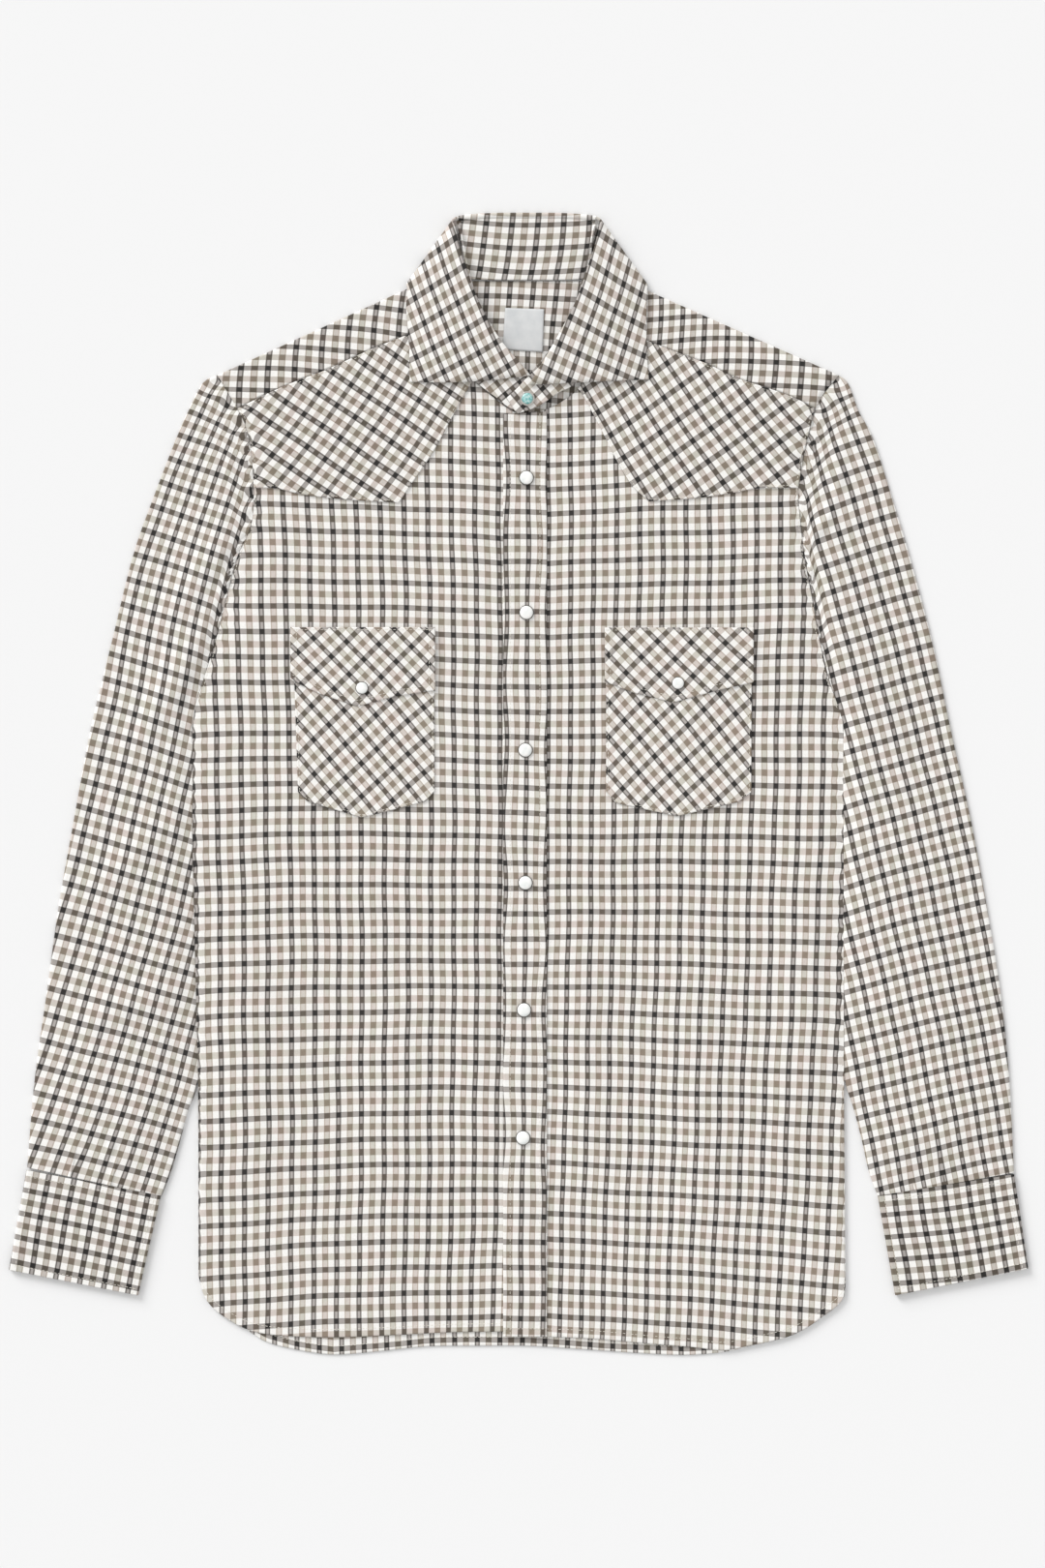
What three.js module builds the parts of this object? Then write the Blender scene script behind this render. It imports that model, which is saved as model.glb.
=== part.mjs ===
import * as THREE from 'three';

// A western snap shirt in a small check, fastened and laid flat on its back.
// Millimetres. +X is to the right of the laid shirt as seen from above, +Y runs towards the
// collar and +Z up from the surface. The origin is under the middle of the laid shirt.
// Left and right in the names are as seen from above, so front_right is the wearer's left front.

// Cloth and the stack of layers
const CLOTH = 1.2; // wall of one panel, with its turnings
const SEAM_GAP = 0.3; // air between pieces that are sewn to each other
const LAYER = CLOTH + SEAM_GAP; // rise from the middle of one layer to the middle of the next
const BACK_Z = CLOTH / 2; // middle of the layer that rests on the surface
const FRONT_Z = BACK_Z + LAYER; // fronts and the part of the back yoke that is folded forward
const APPLIED_Z = FRONT_Z + LAYER; // front yokes, pockets and placket, sewn onto the fronts
const FLAP_Z = APPLIED_Z + LAYER; // pocket flaps, on the pockets
const FOLD_INSET = 1.4; // how far a folded edge rounds in from the outline

// Sleeves and cuffs
const ARMHOLE_GAP = 0.45; // measured along X, which is 0.3 mm across the sloping seam
const SLEEVE_FULLNESS = 2.6; // how far the upper wall of a sleeve stands clear in the middle
const SLEEVE_FLATS = { side: 0.35, top: 0.12, cuff: 0.1 }; // shares over which that dies away
const CUFF_WALL = 1.8; // two cloths and their interlining
const CUFF_SPACE = 0.5; // air inside the flattened cuff

// Body levels along Y
const SHOULDER_CORNER_Y = 304;
const FORWARD_SEAM_Y = 279; // where the forward shoulder seam meets the armhole
const BACK_YOKE_SEAM_Y = 250;
const FRONT_YOKE_Y = 220; // lower edge of the front yokes at the armhole
const ARMPIT_Y = 43;

// Outline of the body from the shoulder corner down the armhole and the side seam to the hem
const BODY_EDGE = [
  { y: 304, left: -224, right: 238 },
  { y: 289, left: -215, right: 226 },
  { y: 279, left: -209, right: 220.5 },
  { y: 266, left: -203, right: 217 },
  { y: 245, left: -198.5, right: 212 },
  { y: 220, left: -197, right: 208 },
  { y: 192, left: -199, right: 210 },
  { y: 168, left: -209.5, right: 213 },
  { y: 135, left: -218, right: 219 },
  { y: 112, left: -224, right: 223 },
  { y: 79, left: -234, right: 230.5 },
  { y: 60, left: -240, right: 237 },
  { y: 43, left: -242.5, right: 241.5 },
  { y: -36, left: -243, right: 242 },
  { y: -100, left: -241.5, right: 242 },
  { y: -223, left: -238.5, right: 242 },
  { y: -374, left: -238, right: 243 },
];

// Shaped hems, each from its side seam: the two fronts to the lap, and the back tail, which
// shows below them
const HEM = {
  left: [[-238, -366], [-234.3, -379.4], [-228, -388.8], [-217, -397.4], [-202, -405.4], [-185, -409.3],
    [-160, -411], [-135, -411.3], [-109, -410.4], [-84, -409.3], [-50, -407.6], [-17, -407.2], [16, -407.2]],
  right: [[243, -374], [241.5, -382], [236, -388.8], [226, -396], [216, -403.2], [204, -409.5],
    [192, -413.3], [172, -417.5], [152, -421], [128, -418.5], [96, -416], [56, -412.4], [16.3, -410.8]],
};
const TAIL = [[-238, -366], [-234.3, -379.4], [-228, -388.8], [-217, -397.4], [-202, -406], [-188, -414.7],
  [-166, -420.5], [-138, -424.3], [-105, -422], [-69, -418.3], [-30, -417.8], [6, -417.8], [50, -420.5],
  [93, -423.4], [125, -424.6], [152, -422.5], [172, -418], [192, -413.6], [204, -409.8], [216, -403.5],
  [228, -394.8], [238, -385], [243, -374]];

// Shoulder fold, where the back yoke turns over to the front
const SHOULDER_FOLD = {
  left: { outer: [-224, 304], neck: [-48, 384] },
  right: { outer: [238, 304], neck: [57, 384] },
};
const YOKE_NECK = { left: [-36, 374], right: [48, 374], steps: 4 }; // seam with the collar stand
// How the yoke rounds the shoulder fold: distance in from the fold, and height
const YOKE_FOLD = {
  outside: [{ inset: 0.4, z: 0 }, { inset: 0, z: 0.7 }, { inset: 0, z: 2 }, { inset: 0.4, z: 2.7 }],
  inside: [{ inset: 1.2, z: 1.2 }, { inset: 1.1, z: 1.3 }, { inset: 1.1, z: 1.4 }, { inset: 1.2, z: 1.5 }],
};
// Forward shoulder seam from the armhole to the neck
const FORWARD_SEAM = {
  left: [[-209, 279], [-187, 290], [-165, 299.5], [-145, 307],
    [-122, 317.5], [-104, 325.5], [-82, 334], [-58, 343]],
  right: [[220.5, 279], [206, 286.5], [186, 294], [161, 302],
    [142, 311.5], [121, 319.5], [97, 329], [69, 341]],
};
// Neck seam of the fronts, from the forward shoulder seam to the lap, where the left front
// ends under the placket and the right one starts
const FRONT_NECK = {
  left: [[-58, 343], [-55, 331], [-48, 313], [-30, 297], [-4, 277], [16, 275.5]],
  right: [[69, 341], [68, 331], [62, 315], [46, 295], [30, 283], [16.3, 277]],
};

// Pointed front yokes: lower edge from the armhole to the tip, then up to the neck
const FRONT_YOKE = {
  left: {
    lower: [[-197, 220], [-180, 219.5], [-163, 215.5], [-145, 213], [-118, 210.5], [-89, 209]],
    inner: [[-89, 209], [-81, 221], [-64, 246], [-48, 275], [-34, 300]],
    neck: [[-58, 343], [-55, 331], [-48, 313], [-34, 300]],
  },
  right: {
    lower: [[208, 220], [192, 220], [176, 219.5], [158, 216], [128, 212], [97, 210]],
    inner: [[97, 210], [81, 226], [60, 266], [49, 287], [44, 294]],
    neck: [[69, 341], [68, 331], [62, 315], [44, 294]],
  },
};

// Chest pockets and their flaps: width from x0 to x1, level top, height of the sides' ends,
// and the lower edge's shoulders and point
const POCKETS = {
  left: {
    x0: -168, x1: -62.5, top: 115.5, side: -5, shoulders: [[-157, -13], [-69, -13]], tip: [-116.5, -25],
  },
  right: {
    x0: 65, x1: 173.5, top: 115.5, side: -6, shoulders: [[72, -14], [163, -13.5]], tip: [117.5, -24],
  },
};
const FLAPS = {
  left: {
    x0: -169.5, x1: -62, top: 116.5, side: 76, shoulders: [[-148, 67], [-92, 65]], tip: [-120, 57.5],
  },
  right: {
    x0: 64, x1: 174.7, top: 116.2, side: 75.5, shoulders: [[86, 67.5], [148, 69.5]], tip: [115, 60.5],
  },
};
const FLAP_SNAPS = { left: [-116.4, 71.3], right: [118.4, 74.9] };

// Placket with its snaps
const PLACKET = { x0: -11.5, x1: 21, topLeft: 275, topRight: 277, bottom: -410.8 };
const PLACKET_SNAPS = [[5.8, 227.5], [5.8, 127.4], [5, 25.2], [5, -73.4], [4, -167.8], [3.2, -262.8]];
const COLLAR_SNAP = { at: [6.5, 286], z: 7.5 };
const SNAP_RADIUS = 5.4;
const POCKET_SNAP_RADIUS = 4.7;
const SNAP_SEGMENTS = 12;
// Cap of a snap from its rim to its middle: radius and height, as shares of its radius
const SNAP_PROFILE = [[0, 0], [1, 0], [1, 0.2], [0.84, 0.22], [0.78, 0.36], [0.45, 0.47], [0, 0.5]];

// Woven label on the inside of the back yoke, bare
const LABEL = { corners: [[-10, 354], [19, 353], [18, 321], [-12, 323]], wall: 0.6 };

// Sleeves: the outer folded edge from the shoulder corner to the cuff, and the inner one
// from the armpit, along the body's side and then out to the cuff
const SLEEVE = {
  left: {
    outer: [[-224, 304], [-235, 298], [-246, 277], [-255, 256], [-272, 212], [-287, 169], [-303, 104],
      [-318.5, 40], [-330.5, -25], [-342, -90], [-351, -155], [-360, -220], [-365.5, -285]],
    inner: [[-243.2, 43], [-243.8, 20], [-244.1, -36], [-242.6, -100], [-240.3, -200],
      [-240.8, -227], [-246, -243], [-252, -266], [-258.5, -288], [-265.5, -305.6]],
  },
  right: {
    outer: [[238, 304], [245, 298], [253, 277], [264, 256], [278, 212], [291, 169], [308, 104],
      [321.5, 40], [336, -25], [348, -90], [358.5, -155], [365, -220], [368.4, -289]],
    inner: [[242.2, 43], [242.9, 20], [243.1, -36], [243.1, -100], [243.1, -200], [244, -223], [249, -241],
      [255.5, -266], [260.5, -288], [267, -305.6]],
  },
};
// Cuffs: corners at the sleeve seam (outer, inner) and at the wrist edge
const CUFF = {
  left: { seam: [[-366, -287], [-266, -306]], wrist: [[-379, -361], [-283, -380]] },
  right: { seam: [[368.5, -290], [267, -306]], wrist: [[379, -360], [280, -380]] },
};
// Pleats at the cuff seam: share of the width from the outer edge
const CUFF_PLEATS = { left: [0.32, 0.62], right: [0.5, 0.72] };
const CUFF_PLEAT = { height: 1.1, width: 0.055, reach: 0.1 };

// Collar, as rows around the neck from the middle of the back to the front end. Each row
// joins the rolled edge to the other edge, with the height of the cloth's middle at both.
const STAND_BACK = [
  { roll: [6, 421.5], seam: [6, 374.6], rollZ: 2.1, seamZ: 2.1 },
  { roll: [-20, 421.5], seam: [-17, 374.6], rollZ: 2.1, seamZ: 2.1 },
  { roll: [-38, 419.5], seam: [-32, 375], rollZ: 2.1, seamZ: 2.1 },
  { roll: [-43.5, 417], seam: [-36.5, 375.5], rollZ: 2.3, seamZ: 2.3 },
  { roll: [-45, 415.5], seam: [-38, 375.5], rollZ: 3.7, seamZ: 3.7 },
];
const STAND_LEFT = [
  { roll: [-43.5, 413.5], seam: [-37, 374.5], rollZ: 5.1, seamZ: 5.1 },
  { roll: [-40, 397], seam: [-46, 367], rollZ: 7, seamZ: 5.1 },
  { roll: [-36, 377], seam: [-54, 351], rollZ: 8, seamZ: 5.1 },
  { roll: [-30, 359], seam: [-55, 333], rollZ: 8, seamZ: 5.1 },
  { roll: [-22, 341], seam: [-48, 313], rollZ: 8, seamZ: 5.1 },
  { roll: [-11, 323], seam: [-30, 297], rollZ: 7.4, seamZ: 5.1 },
  { roll: [4, 306], seam: [-4, 276.5], rollZ: 5.6, seamZ: 5.1 },
  { roll: [21, 299], seam: [17, 275.5], rollZ: 5.1, seamZ: 5.1 },
];
const STAND_RIGHT = [
  { roll: [55.5, 413.5], seam: [49, 374.5], rollZ: 5.1, seamZ: 5.1 },
  { roll: [52.5, 397], seam: [58, 367], rollZ: 7, seamZ: 5.1 },
  { roll: [48, 377], seam: [66, 351], rollZ: 8, seamZ: 5.1 },
  { roll: [42.5, 359], seam: [68, 333], rollZ: 8, seamZ: 5.1 },
  { roll: [34.5, 341], seam: [61, 314], rollZ: 8, seamZ: 5.2 },
  { roll: [24, 321], seam: [44, 293.5], rollZ: 7.6, seamZ: 5.8 },
  { roll: [12, 303], seam: [19, 277], rollZ: 6.8, seamZ: 6.6 },
  { roll: [1, 296], seam: [-2.5, 275.5], rollZ: 6.6, seamZ: 6.6 },
];
const LEAF_BACK = [
  { roll: [6, 424.2], edge: [6, 377], rollZ: 2, edgeZ: 0.6 },
  { roll: [-21, 424], edge: [-22, 377], rollZ: 2, edgeZ: 0.6 },
  { roll: [-40, 422.6], edge: [-47, 387], rollZ: 2.1, edgeZ: 0.6 },
  { roll: [-46.5, 421], edge: [-76, 374.5], rollZ: 2.4, edgeZ: 0.7 },
  { roll: [-49.5, 418], edge: [-83, 371.8], rollZ: 4.8, edgeZ: 3 },
];
const LEAF_LEFT = [
  { roll: [-48, 414], edge: [-82.5, 366], rollZ: 7.6, edgeZ: 5.4 },
  { roll: [-44.5, 401], edge: [-83.5, 354], rollZ: 9.4, edgeZ: 5.2 },
  { roll: [-39, 382], edge: [-82, 335], rollZ: 10.2, edgeZ: 5.2 },
  { roll: [-32.5, 364], edge: [-81.2, 319], rollZ: 10.4, edgeZ: 5.2 },
  { roll: [-24, 346], edge: [-81, 308], rollZ: 10.4, edgeZ: 5.2 },
  { roll: [-12, 327], edge: [-81, 302.5], rollZ: 9.8, edgeZ: 5.2 },
  { roll: [3.5, 308], edge: [-81, 298.5], rollZ: 8.4, edgeZ: 5.2 },
];
const LEAF_RIGHT = [
  { roll: [60.5, 415], edge: [95.5, 366], rollZ: 7.6, edgeZ: 5.4 },
  { roll: [57.5, 401], edge: [95, 354], rollZ: 9.4, edgeZ: 5.2 },
  { roll: [51.5, 383], edge: [95, 337], rollZ: 10.2, edgeZ: 5.2 },
  { roll: [46, 366], edge: [95.5, 322], rollZ: 10.4, edgeZ: 5.2 },
  { roll: [38, 348], edge: [96, 311], rollZ: 10.4, edgeZ: 5.2 },
  { roll: [26.5, 327], edge: [96.5, 305], rollZ: 10, edgeZ: 5.2 },
  { roll: [7.5, 297], edge: [96.8, 300.5], rollZ: 9, edgeZ: 5.2 },
];
const COLLAR_MIDDLE_X = 6; // the back rows are mirrored about this line
const STAND_WALL = 1.2;
const LEAF_WALL = 1.2;
const LEAF_SHARES = [0, 0.035, 0.35, 0.68, 1]; // where the leaf bends between its roll and its edge
const LEAF_BELLY = 0.5;

// Soft folds that lift the upper wall: a ridge from one end to the other
const FRONT_FOLDS = [
  { from: [-205, -60], to: [-196, -330], width: 26, height: 1.6 },
  { from: [-92, -150], to: [-104, -385], width: 30, height: 1.4 },
  { from: [-36, -60], to: [-30, -300], width: 16, height: 1 },
  { from: [46, -70], to: [52, -330], width: 20, height: 1.2 },
  { from: [128, -120], to: [136, -380], width: 32, height: 1.6 },
  { from: [212, -30], to: [206, -300], width: 24, height: 1.5 },
];
const SLEEVE_FOLDS = {
  left: [
    { from: [-214, 190], to: [-262, 120], width: 14, height: 1.6 },
    { from: [-228, 120], to: [-290, 20], width: 16, height: 1.8 },
    { from: [-250, -20], to: [-318, -80], width: 18, height: 1.6 },
    { from: [-256, -150], to: [-330, -180], width: 18, height: 1.4 },
  ],
  right: [
    { from: [236, 205], to: [216, 174], width: 12, height: 2 },
    { from: [228, 112], to: [292, 30], width: 16, height: 1.8 },
    { from: [252, -30], to: [320, -86], width: 18, height: 1.6 },
    { from: [262, -160], to: [338, -190], width: 18, height: 1.4 },
  ],
};

// Cells along and down each piece that no table divides
const CELLS = {
  pocket: [10, 5], flap: [12, 3], placket: [2, 24], cuff: [8, 3], label: [3, 3], sleeveRows: 16,
};

const SIDES = ['left', 'right'];
const COLOURS = { cloth: 0xb9b1a6, pearl: 0xeceae4, stone: 0x5f8f90, label: 0xbfc1c2 };
const CLOTH_FINISH = { color: COLOURS.cloth, roughness: 0.92, metalness: 0 };
const PEARL_FINISH = { color: COLOURS.pearl, roughness: 0.28, metalness: 0 };
const STONE_FINISH = { color: COLOURS.stone, roughness: 0.35, metalness: 0 };
const LABEL_FINISH = { color: COLOURS.label, roughness: 0.55, metalness: 0 };

const clamp01 = (t) => Math.min(1, Math.max(0, t));
const mix = (a, b, t) => a + (b - a) * t;
const mix2 = (p, q, t) => [mix(p[0], q[0], t), mix(p[1], q[1], t)];

function smooth(t) {
  const s = clamp01(t);
  return s * s * (3 - 2 * s);
}

// The body's outline on one side at a height, read straight between the rows of its table.
function bodyX(side, y) {
  const found = BODY_EDGE.findIndex((row) => row.y <= y);
  const next = Math.max(1, found < 0 ? BODY_EDGE.length - 1 : found);
  const [above, below] = [BODY_EDGE[next - 1], BODY_EDGE[next]];
  return mix(above[side], below[side], clamp01((y - above.y) / (below.y - above.y)));
}

// A path through points, by share of its length: smooth, or straight between the points.
function softPath(points) {
  const knots = points.map(([x, y]) => new THREE.Vector3(x, y, 0));
  const curve = new THREE.CatmullRomCurve3(knots, false, 'centripetal');
  return (t) => {
    const p = curve.getPointAt(clamp01(t));
    return [p.x, p.y];
  };
}

function straightPath(points) {
  const path = new THREE.CurvePath();
  points.slice(1).forEach(([x, y], i) => {
    path.add(new THREE.LineCurve3(new THREE.Vector3(...points[i], 0), new THREE.Vector3(x, y, 0)));
  });
  return (t) => {
    const p = path.getPointAt(clamp01(t));
    return [p.x, p.y];
  };
}

const line = (p, q) => (t) => mix2(p, q, t);

// A path that gives each stretch between two of its points an equal share, so that pieces
// that meet along it have the same corners there.
function cornerPath(points) {
  return (t) => {
    const place = clamp01(t) * (points.length - 1);
    const at = Math.min(points.length - 2, Math.floor(place));
    return mix2(points[at], points[at + 1], place - at);
  };
}

// The levels of the body's outline between two heights: one grid row or column each, so that
// the pieces that meet along the outline have the same corners there.
function levelsBetween(fromY, toY) {
  return [fromY, ...BODY_EDGE.map(({ y }) => y).filter((y) => y < fromY && y > toY), toY];
}

const stepsBetween = (fromY, toY) => levelsBetween(fromY, toY).length - 1;

// The body's outline on one side between two levels.
function bodyEdge(side, fromY, toY) {
  const levels = levelsBetween(fromY, toY);
  return (t) => {
    const place = clamp01(t) * (levels.length - 1);
    const row = Math.min(levels.length - 2, Math.floor(place));
    const y = mix(levels[row], levels[row + 1], place - row);
    return [bodyX(side, y), y];
  };
}

// A flat patch between four edges: top and bottom run with u, first and second with v.
function patch(top, bottom, first, second) {
  const corners = [top(0), top(1), bottom(0), bottom(1)];
  return (u, v) => [0, 1].map((axis) => {
    const across = mix(top(u)[axis], bottom(u)[axis], v);
    const along = mix(first(v)[axis], second(v)[axis], u);
    const low = mix(corners[0][axis], corners[1][axis], u);
    const high = mix(corners[2][axis], corners[3][axis], u);
    return across + along - mix(low, high, v);
  });
}

// How far the folds of a table lift the cloth at a place.
function foldLift(folds, x, y) {
  return folds.reduce((lift, fold) => {
    const dx = fold.to[0] - fold.from[0];
    const dy = fold.to[1] - fold.from[1];
    const along = clamp01(((x - fold.from[0]) * dx + (y - fold.from[1]) * dy) / (dx * dx + dy * dy));
    const away = Math.hypot(x - fold.from[0] - along * dx, y - fold.from[1] - along * dy);
    return lift + fold.height * smooth(1 - away / fold.width) * Math.sqrt(Math.sin(Math.PI * along) + 0.02);
  }, 0);
}

// Collects quads into one closed body and turns it face out.
class Body {
  constructor() {
    this.points = [];
    this.faces = [];
  }

  // Adds a grid of points and returns a reader of their numbers.
  grid(rows) {
    const start = this.points.length;
    const width = rows[0].length;
    rows.forEach((row) => this.points.push(...row));
    return (i, j) => start + i * width + j;
  }

  quad(a, b, c, d) {
    this.faces.push([a, b, c], [a, c, d]);
  }

  geometry() {
    const volume = this.faces.reduce((sum, [a, b, c]) => {
      const [p, q, r] = [this.points[a], this.points[b], this.points[c]];
      return sum + p.dot(new THREE.Vector3().crossVectors(q, r));
    }, 0);
    const turned = volume < 0 ? this.faces.map(([a, b, c]) => [a, c, b]) : this.faces;
    const geometry = new THREE.BufferGeometry();
    geometry.setAttribute('position', new THREE.Float32BufferAttribute(
      this.points.flatMap((p) => [p.x, p.y, p.z]), 3));
    geometry.setIndex(turned.flat());
    return geometry;
  }
}

// Joins two grids of the same size, one wall apart, into a closed sheet. Only the cells that
// isCloth keeps are made, and each open side of such a cell is walled.
function closeSheet(upper, lower, isCloth = () => true) {
  const body = new Body();
  const top = body.grid(upper);
  const under = body.grid(lower);
  const rows = upper.length - 1;
  const columns = upper[0].length - 1;
  const made = (i, j) => i >= 0 && j >= 0 && i < rows && j < columns && isCloth(i, j);
  const wall = (i, j, k, l) => body.quad(top(k, l), top(i, j), under(i, j), under(k, l));
  for (let i = 0; i < rows; i += 1) {
    for (let j = 0; j < columns; j += 1) {
      if (made(i, j)) {
        body.quad(top(i, j), top(i, j + 1), top(i + 1, j + 1), top(i + 1, j));
        body.quad(under(i, j), under(i + 1, j), under(i + 1, j + 1), under(i, j + 1));
        if (!made(i - 1, j)) wall(i, j, i, j + 1);
        if (!made(i + 1, j)) wall(i + 1, j + 1, i + 1, j);
        if (!made(i, j - 1)) wall(i + 1, j, i, j);
        if (!made(i, j + 1)) wall(i, j + 1, i + 1, j + 1);
      }
    }
  }
  return body.geometry();
}

// A panel that lies on its patch: middleAt gives the height of the cloth's middle.
function panel(plan, columns, rows, middleAt, wall = CLOTH) {
  const skin = (offset) => Array.from({ length: rows + 1 }, (_, i) => (
    Array.from({ length: columns + 1 }, (__, j) => {
      const [x, y] = plan(j / columns, i / rows);
      return new THREE.Vector3(x, y, middleAt(x, y) + offset);
    })));
  return closeSheet(skin(wall / 2), skin(-wall / 2));
}

// A bent sheet from rows of middle points, walled along its own normals.
function bentSheet(rows, wall) {
  const tangent = (before, after) => new THREE.Vector3().subVectors(after, before);
  const normals = rows.map((row, i) => row.map((_, j) => {
    const along = tangent(rows[Math.max(0, i - 1)][j], rows[Math.min(rows.length - 1, i + 1)][j]);
    const across = tangent(row[Math.max(0, j - 1)], row[Math.min(row.length - 1, j + 1)]);
    return new THREE.Vector3().crossVectors(along, across).normalize();
  }));
  const skin = (offset) => rows.map((row, i) => (
    row.map((p, j) => p.clone().addScaledVector(normals[i][j], offset))));
  return closeSheet(skin(wall / 2), skin(-wall / 2));
}

// A flattened tube on its patch, open at both ends, with rounded folds at its two edges.
// keepClear moves a point off a neighbour that lies beside the tube.
function flatTube(plan, columns, rows, wall, space, liftAt, keepClear = (p) => p) {
  const height = 2 * wall + space;
  const ring = (v, inset, out) => {
    const flat = Array.from({ length: columns + 1 }, (_, j) => plan(j / columns, v));
    const toward = (from, to, distance) => {
      const length = Math.hypot(to[0] - from[0], to[1] - from[1]);
      return mix2(from, to, distance / length);
    };
    const ends = [toward(flat[0], flat[1], inset), toward(flat[columns], flat[columns - 1], inset)];
    const bent = [
      toward(flat[0], flat[1], inset + FOLD_INSET - out),
      ...flat.slice(1, -1),
      toward(flat[columns], flat[columns - 1], inset + FOLD_INSET - out),
    ].map(keepClear);
    const lower = bent.map(([x, y]) => new THREE.Vector3(x, y, out ? wall : 0));
    const upper = bent.map(([x, y], j) => (
      new THREE.Vector3(x, y, (out ? height - wall : height) + liftAt(j / columns, v, x, y))));
    const [near, far] = ends.map(keepClear).map(([x, y]) => new THREE.Vector3(x, y, height / 2));
    return [near, ...lower, far, ...upper.reverse()];
  };
  const body = new Body();
  const steps = Array.from({ length: rows + 1 }, (_, i) => i / rows);
  const outer = body.grid(steps.map((v) => ring(v, 0, 0)));
  const inner = body.grid(steps.map((v) => ring(v, wall, 1)));
  const around = 2 * (columns + 1) + 2;
  for (let j = 0; j < around; j += 1) {
    const k = (j + 1) % around;
    for (let i = 0; i < rows; i += 1) {
      body.quad(outer(i, j), outer(i, k), outer(i + 1, k), outer(i + 1, j));
      body.quad(inner(i, j), inner(i + 1, j), inner(i + 1, k), inner(i, k));
    }
    body.quad(outer(0, k), outer(0, j), inner(0, j), inner(0, k));
    body.quad(outer(rows, j), outer(rows, k), inner(rows, k), inner(rows, j));
  }
  return body.geometry();
}

const shirt = new THREE.Group();

function addPiece(name, geometry, finish) {
  const mesh = new THREE.Mesh(geometry, new THREE.MeshStandardMaterial(finish));
  mesh.name = name;
  shirt.add(mesh);
  return mesh;
}

const sign = (side) => (side === 'left' ? -1 : 1);
const frontMiddle = (x, y) => FRONT_Z + foldLift(FRONT_FOLDS, x, y);

const seamEnd = (side, y) => [bodyX(side, y), y]; // end of a level seam at the body's outline

function makeBack() {
  const plan = patch(
    line(seamEnd('left', BACK_YOKE_SEAM_Y), seamEnd('right', BACK_YOKE_SEAM_Y)),
    cornerPath(TAIL),
    bodyEdge('left', BACK_YOKE_SEAM_Y, HEM.left[0][1]),
    bodyEdge('right', BACK_YOKE_SEAM_Y, HEM.right[0][1]),
  );
  const rows = stepsBetween(BACK_YOKE_SEAM_Y, HEM.left[0][1]);
  return addPiece('back', panel(plan, TAIL.length - 1, rows, () => BACK_Z), CLOTH_FINISH);
}

// The yoke lies under the neck and turns over the shoulders to the forward seams: rows run
// from the seam with the back up to the neck, and at the shoulders on round the fold.
function makeBackYoke() {
  const seamY = BACK_YOKE_SEAM_Y + SEAM_GAP;
  const shoulder = FORWARD_SEAM.left.length - 1;
  const between = (from, to, steps) => Array.from({ length: steps }, (_, i) => mix2(from, to, i / steps));
  const top = [
    ...between(SHOULDER_FOLD.left.outer, SHOULDER_FOLD.left.neck, shoulder),
    SHOULDER_FOLD.left.neck,
    ...between(YOKE_NECK.left, YOKE_NECK.right, YOKE_NECK.steps),
    YOKE_NECK.right,
    ...between(SHOULDER_FOLD.right.neck, SHOULDER_FOLD.right.outer, shoulder),
    SHOULDER_FOLD.right.outer,
  ];
  const columns = top.length - 1;
  const atShoulder = (j) => j < shoulder || j >= columns - shoulder;
  const base = patch(
    cornerPath(top),
    line(seamEnd('left', seamY), seamEnd('right', seamY)),
    bodyEdge('left', SHOULDER_CORNER_Y, seamY),
    bodyEdge('right', SHOULDER_CORNER_Y, seamY),
  );
  const over = Object.fromEntries(SIDES.map((side) => {
    const seam = FORWARD_SEAM[side].map(([x, y]) => [x, y + SEAM_GAP]);
    const { outer, neck } = SHOULDER_FOLD[side];
    return [side, patch(line(outer, neck), cornerPath(seam),
      bodyEdge(side, SHOULDER_CORNER_Y, FORWARD_SEAM_Y + SEAM_GAP), line(neck, seam.at(-1)))];
  }));
  // A point of the part that is turned over, by its column and its share of the way to the seam
  const overAt = (j, v) => (
    j <= shoulder ? over.left(j / shoulder, v) : over.right((columns - j) / shoulder, v));
  const insetAt = (j, inset) => {
    const [near, far] = [overAt(j, 0), overAt(j, 1)];
    return overAt(j, inset / Math.hypot(far[0] - near[0], far[1] - near[1]));
  };
  const numbers = Array.from({ length: columns + 1 }, (_, j) => j);
  const row = (pointAt, z) => numbers.map((j) => new THREE.Vector3(...pointAt(j), z));
  const baseRows = stepsBetween(SHOULDER_CORNER_Y, seamY);
  const basePoint = (i) => (j) => base(j / columns, 1 - i / baseRows);
  const neckEdge = (j) => (atShoulder(j) || j === shoulder ? insetAt(j, FOLD_INSET) : top[j]);
  const folded = (rows) => rows.map(({ inset, z }) => row((j) => insetAt(j, inset), z));
  const overRows = stepsBetween(SHOULDER_CORNER_Y, FORWARD_SEAM_Y + SEAM_GAP);
  const overSteps = Array.from({ length: overRows }, (_, i) => (i + 1) / overRows);
  const skin = (baseZ, fold, overZ) => [
    ...Array.from({ length: baseRows }, (_, i) => row(basePoint(i), baseZ)),
    row(neckEdge, baseZ),
    ...folded(fold),
    row((j) => insetAt(j, FOLD_INSET), overZ),
    ...overSteps.map((v) => row((j) => overAt(j, v), overZ)),
  ];
  const outside = skin(0, YOKE_FOLD.outside, FRONT_Z + CLOTH / 2);
  const inside = skin(CLOTH, YOKE_FOLD.inside, FRONT_Z - CLOTH / 2);
  const isCloth = (i, j) => i < baseRows || atShoulder(j);
  return addPiece('back_yoke', closeSheet(outside, inside, isCloth), CLOTH_FINISH);
}

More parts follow.
